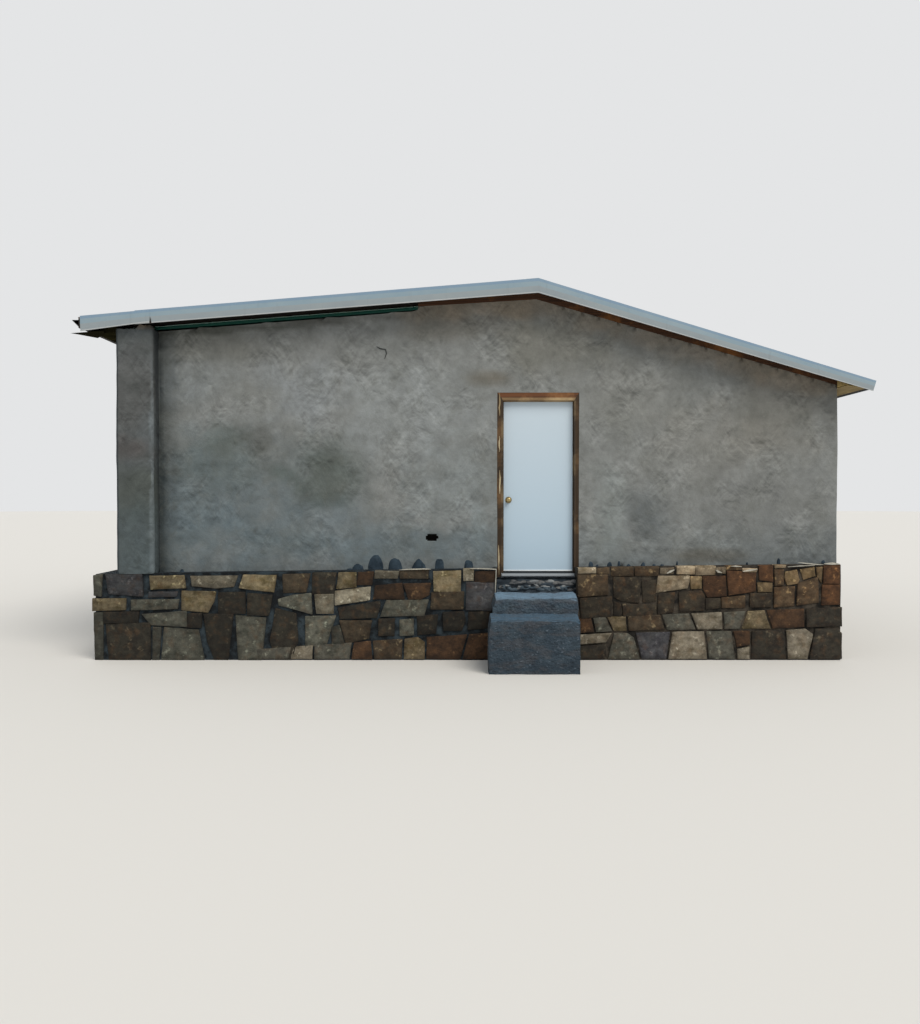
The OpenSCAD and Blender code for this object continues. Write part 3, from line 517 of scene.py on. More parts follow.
def mud_plaster(name, dark):
    """Mud plaster rubbed up with a steel trowel. The weather attribute gives its stained colour,
    with the painted shadows, light and highlight laid into it; over it come mottling, the smears
    that the trowel left, and sand."""
    coat = Finish(name, dark, 0.92, Specular_IOR_Level=0.15)
    tree = coat.tree
    coat.colour = add(tree, "ShaderNodeAttribute", attribute_name="weather").outputs["Color"]
    # Distance along the wall and height, so that strokes look alike on walls of every side
    axes = add(tree, "ShaderNodeSeparateXYZ", {"Vector": coat.place}).outputs
    run = add(tree, "ShaderNodeMath", {0: axes["X"], 1: axes["Y"]}).outputs[0]
    flat = add(tree, "ShaderNodeCombineXYZ", {"X": run, "Z": axes["Z"]}).outputs[0]
    drift = add(tree, "ShaderNodeTexNoise", {
        "Vector": flat, "Scale": per_metre(450), "Detail": 2.0}).outputs["Color"]
    swept = add(tree, "ShaderNodeMix", {0: 0.2, VECTOR_A: flat, VECTOR_B: drift},
                data_type="VECTOR").outputs[VECTOR_OUT]
    broad = coat.patches(380, 0.42, 0.66, 6.0, at=flat)
    coat.lay(dark, broad, 0.30)
    rained = add(tree, "ShaderNodeMapping", {"Vector": swept, "Scale": (1.0, 1.0, 0.75)})
    coat.lay(dark, coat.patches(85, 0.50, 0.68, 6.0, at=rained.outputs[0]), 0.30)
    value = coat.patches(230, 0.32, 0.68, 8.0, at=flat, rough=0.74, least=0.83, most=1.19)
    # The trowel's strokes show in places only, where the last coat was rubbed longest
    rubbed = coat.patches(520, 0.42, 0.58, 3.0, at=flat)
    height = broad
    for turn, long_mm, wide_mm in ((0.15, 210, 48), (-0.75, 170, 40), (0.9, 190, 44)):
        laid = add(tree, "ShaderNodeMapping", {
            "Vector": swept, "Rotation": (0, turn, 0),
            "Scale": (long_mm / 1000, 1.0, wide_mm / 1000)}, vector_type="TEXTURE").outputs[0]
        strokes = add(tree, "ShaderNodeTexNoise", {
            "Vector": laid, "Scale": 1.0, "Detail": 3.0, "Roughness": 0.6,
            "Distortion": 0.3}).outputs["Fac"]
        bright = add(tree, "ShaderNodeMapRange", {
            "Value": strokes, "From Min": 0.36, "From Max": 0.64, "To Min": -0.13,
            "To Max": 0.13}).outputs["Result"]
        value = add(tree, "ShaderNodeMath", {0: bright, 1: rubbed, 2: value},
                    operation="MULTIPLY_ADD").outputs[0]
        height = add(tree, "ShaderNodeMath", {0: height, 1: strokes}).outputs[0]
    coat.colour = add(tree, "ShaderNodeHueSaturation", {
        "Color": coat.colour, "Value": value}).outputs["Color"]
    grain = add(tree, "ShaderNodeTexNoise", {
        "Vector": coat.place, "Scale": per_metre(16), "Detail": 6.0, "Roughness": 0.7})
    both = add(tree, "ShaderNodeMath", {
        0: grain.outputs["Fac"], 1: 0.8, 2: height}, operation="MULTIPLY_ADD")
    return coat.done(both.outputs[0], 4)


def coarse_concrete(name, base, pale, dark, tread):
    """Site-mixed concrete: washed-out paste over gravel, pitted, with paler treads, partly worn
    pale by feet and rain and partly painted light from above."""
    coat = Finish(name, base, 0.88, Specular_IOR_Level=0.25)
    tree = coat.tree
    coat.lay(pale, coat.patches(220, 0.42, 0.64))
    # Faces that look up take the tread colour: wear, and painted light from above
    up = add(tree, "ShaderNodeSeparateXYZ", {
        "Vector": add(tree, "ShaderNodeTexCoord").outputs["Normal"]}).outputs["Z"]
    worn_and_lit = add(tree, "ShaderNodeMapRange", {"Value": up, "From Min": 0.72, "From Max": 0.97})
    coat.lay(tread, worn_and_lit.outputs["Result"])
    cast = add(tree, "ShaderNodeMapping", {
        "Vector": coat.place, "Scale": (0.6, 1.0, 1.5)}).outputs[0]
    coat.lay("#554e4b", coat.patches(110, 0.48, 0.62, at=cast), 0.26)
    coat.lay(dark, coat.patches(34, 0.50, 0.70, 6.0, at=cast), 0.6)
    coat.lay("#8693a0", coat.patches(24, 0.60, 0.74, 3.0, at=cast), 0.4)
    gravel = add(tree, "ShaderNodeTexVoronoi", {
        "Vector": coat.place, "Scale": per_metre(24), "Randomness": 1.0})
    paste = add(tree, "ShaderNodeTexNoise", {
        "Vector": cast, "Scale": per_metre(36), "Detail": 8.0, "Roughness": 0.7})
    both = add(tree, "ShaderNodeMath", {
        0: gravel.outputs["Distance"], 1: 0.6, 2: paste.outputs["Fac"]},
        operation="MULTIPLY_ADD")
    return coat.done(both.outputs[0], 14)


def sawn_timber(name, along, base, dark, pale, roughness=0.72):
    """Sawn softwood: long grain lines, darker latewood, pale splits and weathered ends."""
    coat = Finish(name, base, roughness, Specular_IOR_Level=0.35)
    scales = [per_metre(GRAIN_LONG_MM if axis == along else GRAIN_WIDE_MM) for axis in "XYZ"]
    grain = add(coat.tree, "ShaderNodeMapping", {"Vector": coat.place, "Scale": scales})
    lines = add(coat.tree, "ShaderNodeTexNoise", {
        "Vector": grain.outputs[0], "Scale": 1.0, "Detail": 5.0, "Roughness": 0.62,
        "Distortion": 0.35}).outputs["Fac"]
    late = add(coat.tree, "ShaderNodeMapRange", {
        "Value": lines, "From Min": 0.42, "From Max": 0.68}).outputs["Result"]
    coat.lay(dark, late)
    coat.lay(pale, coat.patches(420, 0.52, 0.66, 5.0))
    return coat.done(lines, 2.5)


def dulled(material):
    """The material without its sheen, for a surface that dust and weather have dulled."""
    shader = material.node_tree.nodes["Principled BSDF"]
    shader.inputs["Specular IOR Level"].default_value = 0.0
    return material


def painted_metal(name, base, dull, dirt, roughness, metallic=0.0):
    """Factory-painted sheet steel: smooth, chalked by sun, with dirt that has run downwards."""
    coat = Finish(name, base, roughness, Specular_IOR_Level=0.5, Metallic=metallic)
    coat.lay(dull, coat.patches(600, 0.4, 0.65))
    runs = add(coat.tree, "ShaderNodeMapping", {"Vector": coat.place, "Scale": (6.0, 6.0, 1.0)})
    coat.lay(dirt, coat.patches(420, 0.58, 0.8, 6.0, at=runs.outputs[0]), 0.5)
    # Long sheets never lie quite flat, so their reflections wander a little
    return coat.grained(380, 5, 2.0, strength=0.6)


def gloss_paint(name, base, lower, mark, roughness):
    """Oil paint on a smooth board, turning towards the lower colour near the foot: on the door this
    is a painted reflection, bluer low down.
    """
    coat = Finish(name, base, roughness, Specular_IOR_Level=0.4)
    height = add(coat.tree, "ShaderNodeSeparateXYZ", {"Vector": coat.place}).outputs["Z"]
    falling = add(coat.tree, "ShaderNodeMapRange", {
        "Value": height, "From Min": 2.9, "From Max": 1.2})
    coat.lay(lower, falling.outputs["Result"])
    coat.lay(mark, coat.patches(120, 0.66, 0.8, 7.0), 0.2)
    # The roller has left an orange-peel surface
    return coat.grained(5, 0.2, 3.0)


def bare_metal(name, base, tarnish, roughness):
    """Solid metal worn bright by use, with darker tarnish left in the hollows."""
    coat = Finish(name, base, roughness, Metallic=1.0)
    coat.lay(tarnish, coat.patches(12, 0.45, 0.65))
    return coat.grained(4, 0.1, 4.0)


def merged_copy(node):
    """A copy of a CAD node with its triangles merged back into flat faces."""
    bm = bmesh.new()
    bm.from_mesh(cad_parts[node].data)
    bmesh.ops.remove_doubles(bm, verts=bm.verts, dist=0.00005)
    bmesh.ops.dissolve_limit(bm, angle_limit=math.radians(0.5), verts=bm.verts, edges=bm.edges)
    return bm


def move_into(part, whole):
    """Moves all of one mesh into another."""
    mesh = bpy.data.meshes.new("part")
    part.to_mesh(mesh)
    part.free()
    whole.from_mesh(mesh)
    bpy.data.meshes.remove(mesh)


def cut_plane(bm, at, normal, snap):
    """Cuts all of a mesh along a plane, and keeps both sides."""
    bmesh.ops.bisect_plane(bm, geom=bm.verts[:] + bm.edges[:] + bm.faces[:], dist=snap,
                           plane_co=at, plane_no=normal)


def cut_grid(bm, spacing, extra=()):
    """Cuts a mesh along level and upright planes, so that its faces are no wider than spacing."""
    planes = list(extra)
    for axis in range(3):
        reach = [v.co[axis] for v in bm.verts]
        first = math.ceil(min(reach) / spacing)
        last = math.floor(max(reach) / spacing)
        planes += [(axis, i * spacing) for i in range(first, last + 1)]
    for axis, at in planes:
        normal = Vector([float(axis == i) for i in range(3)])
        cut_plane(bm, normal * at, normal, CUT_SNAP)


def extrude(bm, faces, move):
    """Extrudes faces by a vector, and returns the vertices of the far side."""
    made = bmesh.ops.extrude_face_region(bm, geom=faces)["geom"]
    far = [item for item in made if isinstance(item, bmesh.types.BMVert)]
    bmesh.ops.translate(bm, verts=far, vec=move)
    return far


def round_edges(bm, edges, radius, segments=2):
    """Rounds some edges of a mesh."""
    bmesh.ops.bevel(bm, geom=edges, offset=radius, segments=segments, profile=0.5,
                    affect="EDGES", material=-1, clamp_overlap=True)


def round_corners(bm, xs, y, radius):
    """Rounds the upright corners that stand at one of the x values and at y."""
    edges = [e for e in bm.edges
             if all(abs(v.co.y - y) < SAME_PLACE for v in e.verts)
             and any(all(abs(v.co.x - x) < SAME_PLACE for v in e.verts) for x in xs)]
    round_edges(bm, edges, radius, 3)


def drop_inner_faces(bm):
    """Deletes the pairs of faces that lie against each other inside, and joins what is left."""
    found = {}
    for face in bm.faces:
        key = tuple(round(c, 3) for c in face.calc_center_median())
        found.setdefault(key, []).append(face)
    inner = [f for pair in found.values() if len(pair) == 2 for f in pair]
    bmesh.ops.delete(bm, geom=inner, context="FACES")
    bmesh.ops.remove_doubles(bm, verts=bm.verts, dist=0.0004)


def ripple(spot, *layers):
    """Smooth noise at a spot. Each layer has the height and the size of its waves, in metres."""
    return sum(height * noise.noise(spot / size) for height, size in layers)


def roughen(bm, layers, level=False):
    """Moves each vertex along its normal by a ripple. With level, none moves up or down."""
    bm.normal_update()
    moves = []
    for vert in bm.verts:
        move = vert.normal * ripple(vert.co, *layers)
        if level:
            move.z = 0
        moves.append(move)
    for vert, move in zip(bm.verts, moves):
        vert.co += move


def finish_piece(bm, name, materials, nodes=(), body="house", sharp=40):
    """Makes the mesh an object that rides on a body and stands for the CAD nodes it replaces."""
    for vert in bm.verts:
        vert.co.z = max(vert.co.z, 0.0)
    mesh = bpy.data.meshes.new(name)
    bm.to_mesh(mesh)
    bm.free()
    for material in materials:
        mesh.materials.append(material)
    mesh.shade_smooth()
    mesh.set_sharp_from_angle(angle=math.radians(sharp))
    piece = bpy.data.objects.new(name, mesh)
    bpy.context.collection.objects.link(piece)
    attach(piece, body)
    if nodes:
        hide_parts(*nodes)


def paint_node(node, material, other=None, is_other=None):
    """Gives a CAD node its finish, and a second one to the faces whose middle is_other picks."""
    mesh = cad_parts[node].data
    mesh.materials.clear()
    mesh.materials.append(material)
    if other:
        mesh.materials.append(other)
        for face in mesh.polygons:
            face.material_index = int(is_other(face.center))


def weathered(bm, base, foot, stains=(), plane_y=0.0):
    """Paints each vertex's weather colour: base, the damp foot of the wall, and the stains, painted
    shadows and painted light that the photograph shows on the plane y = plane_y."""
    layer = bm.verts.layers.float_color.new("weather")
    spots = [(seen_at(x_px, y_px, plane_y), wide, high, Vector(linear(code)), cover)
             for x_px, y_px, wide, high, code, cover in stains]
    for vert in bm.verts:
        ragged = ripple(vert.co, (1.0, 0.5), (0.5, 0.17), (0.35, 0.08))
        damp = clamped((DAMP_TOP - vert.co.z + 0.3 * ragged) / DAMP_FADE)
        colour = Vector(linear(base)).lerp(Vector(linear(foot)), 0.6 * damp)
        for spot, wide, high, stain, cover in spots:
            away = math.hypot((vert.co.x - spot.x) / wide, (vert.co.z - spot.z) / high)
            share = clamped(1.35 - away + 0.45 * ragged)
            colour = colour.lerp(stain, cover * share * share * (3 - 2 * share))
        vert[layer] = colour


def front_corners(node):
    """The four corners of the front face of a CAD trim: its ends at the top and at the foot."""
    bm = merged_copy(node)
    face_y = min(v.co.y for v in bm.verts)
    spots = [v.co.copy() for v in bm.verts if v.co.y < face_y + SAME_PLACE / 2]
    bm.free()
    middle = (min(s.x for s in spots) + max(s.x for s in spots)) / 2
    corners = {}
    for end, ends in (("left", [s for s in spots if s.x < middle]),
                      ("right", [s for s in spots if s.x > middle])):
        corners["top_" + end] = max(ends, key=lambda s: s.z)
        corners["foot_" + end] = min(ends, key=lambda s: s.z)
    return corners


def rake_slope(node):
    """The rise of a rake trim for each metre to the right."""
    points = front_corners(node)
    rise = points["top_right"] - points["top_left"]
    return rise.z / rise.x


def bent_trim(name, ends, face_y, materials, nodes=()):
    """A strip of sheet metal between two ends, each the x and z of its top and of its foot: a
    flange over the roof, a face creased along its middle and a hem folded out at the foot."""
    bm = bmesh.new()
    rows = [[bm.verts.new((between(top_x, foot_x, down), face_y + back,
                           between(top_z, foot_z, down)))
             for down, back in TRIM_FOLDS]
            for top_x, top_z, foot_x, foot_z in ends]
    strips = zip(zip(rows[0], rows[0][1:]), zip(rows[1], rows[1][1:]))
    for ((a, b), (c, d)), coat in zip(strips, TRIM_COATS):
        bm.faces.new((a, c, d, b)).material_index = coat
    bmesh.ops.recalc_face_normals(bm, faces=bm.faces)
    bmesh.ops.solidify(bm, geom=bm.faces[:], thickness=0.0015)
    finish_piece(bm, name, materials, nodes, sharp=20)


def flat_sheet(name, spots, thick, material):
    """A piece of flat sheet: its corners, and how far back from them it reaches."""
    bm = bmesh.new()
    face = bm.faces.new([bm.verts.new(spot) for spot in spots])
    extrude(bm, [face], REAR * thick)
    bmesh.ops.recalc_face_normals(bm, faces=bm.faces)
    finish_piece(bm, name, [material])


def thick_strip(bm, rows, thick):
    """A strip through pairs of points, and how far back from them it reaches."""
    pairs = [tuple(bm.verts.new(spot) for spot in row) for row in rows]
    faces = [bm.faces.new((a, c, d, b)) for (a, b), (c, d) in zip(pairs, pairs[1:])]
    extrude(bm, faces, REAR * thick)
    bmesh.ops.recalc_face_normals(bm, faces=bm.faces)


def ribbon(bm, spots, half, thick):
    """A thin strip through some points, pointed at both ends."""
    rows = []
    last = len(spots) - 1
    for i, spot in enumerate(spots):
        way = spots[min(i + 1, last)] - spots[max(i - 1, 0)]
        aside = way.cross(FRONT).normalized() * (half if 0 < i < last else half * 0.25)
        rows.append((spot - aside, spot + aside))
    thick_strip(bm, rows, thick)


def split_sliver(bm, x, y, foot, top, rng):
    """A pale sliver of wood split off along the grain, wider at one end."""
    rows = []
    steps = 6
    for i in range(steps + 1):
        share = i / steps
        half = 0.0015 + 0.006 * math.sin(math.pi * share) * rng.uniform(0.6, 1.2)
        z = between(foot, top, share)
        drift = x + rng.uniform(-0.004, 0.004)
        rows.append(((drift - half, y - 0.0015, z), (drift + half, y - 0.0025, z)))
    thick_strip(bm, rows, 0.004)


def screw_head(bm, spot, normal):
    """A hexagon screw head on its washer."""
    turn = UP.rotation_difference(normal).to_matrix().to_4x4()
    for radius, high, lift, sides in ((0.0095, 0.0015, 0.0005, 8), (0.0055, 0.005, 0.003, 6)):
        at = Matrix.Translation(spot + normal * lift) @ turn
        bmesh.ops.create_cone(bm, cap_ends=True, segments=sides, radius1=radius,
                              radius2=radius * 0.92, depth=high, matrix=at)


class StoneSide:
    """One face of the plinth: where it starts, which way it runs and which way it looks."""

    def __init__(self, start, along, out):
        self.start = start
        self.along = along
        self.out = out

    def point(self, run, height, proud=0.0):
        return self.start + self.along * run + UP * height + self.out * proud


def stone_shade(side, spot, corners):
    """How bright a stone is at a spot: painted shade darkens it near its edges, and a painted
    highlight pales it along its top.
    """
    u, z = (spot - side.start).dot(side.along), spot.z - side.start.z
    if z > max(z1 for u1, z1 in corners) - 0.012:
        return 1.15
    ring = zip(corners, corners[1:] + corners[:1])
    from_edge = min(abs((u - u0) * (z1 - z0) - (z - z0) * (u1 - u0))
                    / max(math.hypot(u1 - u0, z1 - z0), 0.001)
                    for (u0, z0), (u1, z1) in ring)
    return 0.74 + 0.42 * min(from_edge / 0.045, 1.0)


def lay_stone(bm, side, corners, tone, rng, tint=PLAIN_TINT):
    """Adds one stone: a slab split off with a hammer, with worn arrises and a cleft face."""
    part = bmesh.new()
    layer = part.verts.layers.float_color.new("stone_tint")
    proud = -rng.uniform(0.0, 0.010)
    back = part.faces.new([part.verts.new(side.point(u, z, -STONE_THICK)) for u, z in corners])
    ahead = set(extrude(part, [back], side.out * (STONE_THICK + proud)))
    bmesh.ops.recalc_face_normals(part, faces=part.faces)
    arrises = [e for e in part.edges if any(v in ahead for v in e.verts)]
    round_edges(part, arrises, rng.uniform(0.004, 0.009))
    lean = side.along * rng.uniform(-0.35, 0.35)
    for axis in (side.along + UP * rng.uniform(-0.3, 0.3), UP + lean):
        reach = [v.co.dot(axis) for v in part.verts]
        for i in range(1, int((max(reach) - min(reach)) / STONE_MESH) + 1):
            at = axis.normalized() * ((min(reach) + i * STONE_MESH) / axis.length)
            cut_plane(part, at, axis, STONE_SNAP)
    lift = Vector([rng.uniform(0, 50) for i in range(3)])
    face_at = side.point(0, 0, proud).dot(side.out)
    tilt_u, tilt_z = rng.uniform(-0.03, 0.03), rng.uniform(-0.03, 0.03)
    middle = sum((v.co for v in part.verts), Vector()) / len(part.verts)
    for vert in part.verts:
        spot = vert.co / 0.11 + lift
        vert.co += side.along * 0.004 * noise.noise(spot) + UP * 0.004 * noise.noise(spot + UP)
        if vert.co.dot(side.out) > face_at - 0.02:
            cleft = 0.007 * noise.noise(vert.co / 0.075 + lift) - 0.006
            cleft += 0.003 * noise.noise(vert.co / 0.028 + lift)
            from_middle = vert.co - middle
            cleft += from_middle.dot(side.along) * tilt_u + from_middle.z * tilt_z
            vert.co += side.out * min(cleft, 0.004)
    light = PALER if tone.isupper() else DARKER if tone.endswith("-") else 1.0
    # The stone_tint attribute holds painted light: the tint's blue shade or warm light from the
    # ground, painted shade near the stone's edges and a painted highlight along its top.
    shade = tint * light * rng.uniform(0.92, 1.08)
    for vert in part.verts:
        vert[layer] = (*(shade * stone_shade(side, vert.co, corners)), 1.0)
    for face in part.faces:
        face.material_index = TONES.index(tone[0].lower())
    move_into(part, bm)


def grown(corners, by):
    """The corners of a stone moved away from its middle."""
    u_mid = sum(u for u, z in corners) / len(corners)
    z_mid = sum(z for u, z in corners) / len(corners)
    return [(u + math.copysign(by, u - u_mid), z + math.copysign(by, z - z_mid))
            for u, z in corners]


def rough_courses(rng, length, low, high, courses, joint):
    """Yields a tone and corners for stones in rough courses between two heights, each given at
    both ends of the run. Stones vary in width, lean, and are here and there split in two."""
    gap = joint / 2

    def level(share, run):
        foot = between(*low, run / length)
        top = between(*high, run / length)
        wave = 0.028 * noise.noise(Vector((run * 2.1, share * 7.3, length)))
        return between(foot, top, share) + (wave if 0 < share < 1 else 0.0)

    shares = [0.0]
    for k in range(courses):
        shares.append(shares[-1] + rng.uniform(0.8, 1.2) * (1.25 - 0.4 * k / courses))
    shares = [s / shares[-1] for s in shares]
    for below, above in zip(shares, shares[1:]):
        run = 0.0
        lean = 0.0
        while run < length - 0.02:
            width = rng.uniform(0.17, 0.46)
            if length - (run + width) < 0.16:
                width = length - run
            end = run + width
            next_lean = 0.0 if end > length - 0.02 else rng.uniform(-0.045, 0.045)
            low_l, low_r = level(below, run), level(below, end)
            high_l, high_r = level(above, run), level(above, end)
            foot_l = (run - lean + gap, low_l + gap)
            top_l = (run + lean + gap, high_l - gap)
            foot_r = (end - next_lean - gap, low_r + gap)
            top_r = (end + next_lean - gap, high_r - gap)
            jog = rng.uniform(-0.02, 0.02)
            tone = rng.choice("bbbdddrroogggccm")
            if high_l - low_l > 0.24 and rng.random() < 0.3:
                cut = rng.uniform(0.38, 0.62)
                mid_l = between(low_l, high_l, cut) + jog
                mid_r = between(low_r, high_r, cut) - jog
                yield tone, [foot_l, foot_r, (foot_r[0], mid_r - gap), (foot_l[0], mid_l - gap)]
                yield rng.choice("bdrogcm"), [(foot_l[0], mid_l + gap), (foot_r[0], mid_r + gap),
                                              top_r, top_l]
            elif rng.random() < 0.3 and width > 0.25:
                clip = rng.uniform(0.03, 0.07)
                yield tone, [foot_l, foot_r, (top_r[0], top_r[1] - clip),
                             (top_r[0] - clip * 1.4, top_r[1]), top_l]
            else:
                yield tone, [foot_l, foot_r, top_r, top_l]
            run = end
            lean = next_lean


def mortar_core(node, faces, inset):
    """The plinth behind its stones: the CAD solid with its outer faces drawn in to the joints."""
    bm = merged_copy(node)
    low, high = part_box(node)
    cut_grid(bm, 0.07)
    for out in faces:
        plane = max(low.dot(out), high.dot(out))
        for vert in bm.verts:
            if abs(vert.co.dot(out) - plane) < SAME_PLACE:
                vert.co -= out * (inset + ripple(vert.co, (0.009, 0.16), (0.004, 0.05)))
    return bm


class AdobePlinthSettings(bpy.types.PropertyGroup):
    """Sizes of the stonework."""

    joint: FloatProperty(name="Joint", description="Width of the joints between stones",
                         default=0.022, min=0.005, max=0.06, unit="LENGTH")
    inset: FloatProperty(name="Joint Depth", description="Depth of the joints' mortar",
                         default=0.030, min=0.005, max=0.05, unit="LENGTH")
    seed: IntProperty(name="Seed", description="Changes the random stones", default=11)


class AdobePlasterSettings(bpy.types.PropertyGroup):
    """Relief of the plaster."""

    wave: FloatProperty(name="Wave", description="Height of the plaster's broad unevenness",
                        default=0.011, min=0.0, max=0.03, unit="LENGTH")
    corner: FloatProperty(name="Corner", description="Radius of the plaster's worn corners",
                          default=0.035, min=0.005, max=0.08, unit="LENGTH")


class AdobeStepSettings(bpy.types.PropertyGroup):
    """Wear of the concrete steps."""

    wear: FloatProperty(name="Wear", description="Depth of the unevenness of the steps",
                        default=0.012, min=0.0, max=0.03, unit="LENGTH")


class AdobeStageSettings(bpy.types.PropertyGroup):
    """Floor and light round the house."""

    floor: FloatVectorProperty(name="Floor", description="Colour of the floor",
                               default=linear("#d9d8d4")[:3], size=3, subtype="COLOR",
                               min=0.0, max=1.0)
    sky: FloatProperty(name="Sky", description="Strength of the even light from all around",
                       default=0.66, min=0.0, max=2.0)
    lamp: FloatProperty(name="Lamp", description="Strength of the large soft lamp",
                        default=2.25, min=0.0, max=5.0)


class ADOBE_OT_stage(bpy.types.Operator):
    """Adds the camera, the lamp and the pale floor"""

    bl_idname = "adobe.stage"
    bl_label = "Stage"

    def execute(self, context):
        settings = context.scene.adobe_stage
        data = bpy.data.cameras.new("camera")
        data.sensor_width = 36.0
        data.lens = FOCAL_PX * data.sensor_width / PHOTO_H
        data.clip_end = 400.0
        camera = bpy.data.objects.new("camera", data)
        camera.location = EYE
        camera.rotation_euler = EYE_TURN
        context.scene.camera = camera
        context.scene.view_settings.view_transform = "Standard"

        lamp = bpy.data.lights.new("soft_lamp", "SUN")
        lamp.energy = settings.lamp
        lamp.angle = LAMP_SPREAD
        lamp.color = linear("#fff8ee")[:3]
        key = bpy.data.objects.new("soft_lamp", lamp)
        key.rotation_euler = LAMP_TURN

        bm = bmesh.new()
        bmesh.ops.create_circle(bm, cap_ends=True, segments=96, radius=FLOOR_RADIUS)
        mesh = bpy.data.meshes.new("floor")
        bm.to_mesh(mesh)
        bm.free()
        floor = bpy.data.objects.new("floor", mesh)
        floor.location.z = -0.001
        material = bpy.data.materials.new("pale studio floor")
        material.use_nodes = True
        shader = material.node_tree.nodes["Principled BSDF"]
        shader.inputs["Base Color"].default_value = (*settings.floor, 1.0)
        shader.inputs["Roughness"].default_value = 0.9
        mesh.materials.append(material)
        for item in (camera, key, floor):
            context.collection.objects.link(item)
        self.light_world(context.scene, settings.sky)
        return {"FINISHED"}

    @staticmethod
    def light_world(scene, strength):
        """Lights the house evenly, and shows a pale sky to the camera and to shiny surfaces."""
        scene.world = bpy.data.worlds.new("studio")
        scene.world.use_nodes = True
        tree = scene.world.node_tree
        light = tree.nodes["Background"]
        light.inputs["Color"].default_value = linear("#f1f4f8")
        light.inputs["Strength"].default_value = strength
        shown = add(tree, "ShaderNodeBackground", {"Color": linear("#e4e5e6"), "Strength": 1.0})
        path = add(tree, "ShaderNodeLightPath")
        seen = path.outputs["Is Camera Ray"]
        for ray in ("Is Glossy Ray", "Is Transmission Ray"):
            seen = add(tree, "ShaderNodeMath", {0: seen, 1: path.outputs[ray]},
                       operation="MAXIMUM").outputs[0]
        mix = add(tree, "ShaderNodeMixShader", {
            0: seen, 1: light.outputs[0], 2: shown.outputs[0]})
        tree.links.new(mix.outputs[0], tree.nodes["World Output"].inputs["Surface"])


class ADOBE_OT_plinth(bpy.types.Operator):
    """Lays the fieldstones of the plinth in their mortar"""

    bl_idname = "adobe.plinth"
    bl_label = "Stone Plinth"

    def execute(self, context):
        settings = context.scene.adobe_plinth
        rng = random.Random(settings.seed)
        tones = [fieldstone(*finish) for finish in STONE_FINISHES]
        # Both mortars are near black: lime mortar with painted shade in its recessed joints.
        cool = mortar("grey lime mortar with painted shade", "#13171a", "#303a40", "#090b0d")
        warm = mortar("sandy lime mortar with painted shade", "#1d1c1a", "#474139", "#0d0c0b")
        left_low, left_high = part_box("plinth_front_left")
        right_low, right_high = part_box("plinth_front_right")
        front_y = left_low.y
        rear_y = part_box("plinth_rear")[1].y
        top_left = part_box("plinth_left")[1].z
        top_right = right_high.z
        slope = (top_right - top_left) / (right_high.x - left_low.x)

        def finish_side(node, stones, lime, faces):
            core = mortar_core(node, faces, settings.inset)
            finish_piece(core, node + "_mortar", [lime], [node])
            finish_piece(stones, node + "_stones", tones)

        # The front: the stones that show, and below them the courses that the ground hid
        front = StoneSide(Vector((left_low.x, front_y, 0)), RIGHT, FRONT)
        halves = (
            ("plinth_front_left", left_low.x, left_high.x, (STONES_LEFT, STONES_MIDDLE),
             SEEN_FOOT_LEFT, FULL_STONES_LEFT, 1, cool, (FRONT, LEFT)),
            ("plinth_front_right", right_low.x, right_high.x, (STONES_RIGHT,),
             SEEN_FOOT_RIGHT, 0.0, 2, warm, (FRONT, RIGHT)),
        )
        for node, x0, x1, parts, foot, skip, courses, lime, faces in halves:
            stones = bmesh.new()
            for part in parts:
                corner_x, corner_y = part["corner"]
                zoom = part["zoom"]
                for tone, *corners in part["stones"]:
                    middle = sum(u for u, v in corners) / len(corners)
                    right = (corner_x + middle / zoom - PHOTO_W / 2) / WARMING_RUN_PX
                    spots = []
                    for u, v in corners:
                        spot = seen_at(corner_x + u / zoom, corner_y + v / zoom, front_y)
                        height = min(spot.z, top_left + slope * (spot.x - left_low.x) - 0.002)
                        run = clamped(spot.x, x0 + 0.003, x1 - 0.003) - left_low.x
                        spots.append((run, 0.004 if height < 0.14 else height))
                    lay_stone(stones, front, grown(spots, 0.007), tone, rng,
                              TINT_LEFT.lerp(TINT_RIGHT, clamped(right)))
            lower = StoneSide(Vector((x0 + skip, front_y, 0)), RIGHT, FRONT)
            top = (between(*foot, skip / (x1 - x0)), foot[1])
            for tone, corners in rough_courses(rng, x1 - (x0 + skip), (0.0, 0.0), top, courses,
                                               settings.joint):
                lay_stone(stones, lower, corners, tone, rng)
            finish_side(node, stones, lime, faces)

        pale = mortar("pale lime mortar", "#96948a", "#b9b6ab", "#76736a")
        smears = bmesh.new()
        for half_px, *spots in SMEARS:
            ribbon(smears, [seen_at(x_px, y_px, front_y - 0.003) for x_px, y_px in spots],
                   half_px * PIXEL_AT_WALL, 0.02)
        finish_piece(smears, "plinth_lime_smears", [pale])

        # The sides run between the stones of the front and those of the back
        left_end = Vector((left_low.x, rear_y - STONE_THICK, 0))
        right_end = Vector((right_high.x, front_y + STONE_THICK, 0))
        rear_end = Vector((right_high.x, rear_y, 0))
        depth = left_end.y - (front_y + STONE_THICK)
        sides = (
            ("plinth_left", StoneSide(left_end, -REAR, LEFT), depth, (top_left, top_left),
             (LEFT,)),
            ("plinth_right", StoneSide(right_end, REAR, RIGHT), depth, (top_right, top_right),
             (RIGHT,)),
            ("plinth_rear", StoneSide(rear_end, LEFT, REAR), right_high.x - left_low.x,
             (top_right, top_left), (LEFT, RIGHT, REAR)),
        )
        for node, side, length, top, faces in sides:
            stones = bmesh.new()
            for tone, corners in rough_courses(rng, length, (0.0, 0.0), top, 4, settings.joint):
                lay_stone(stones, side, corners, tone, rng)
            finish_side(node, stones, cool, faces)
        return {"FINISHED"}


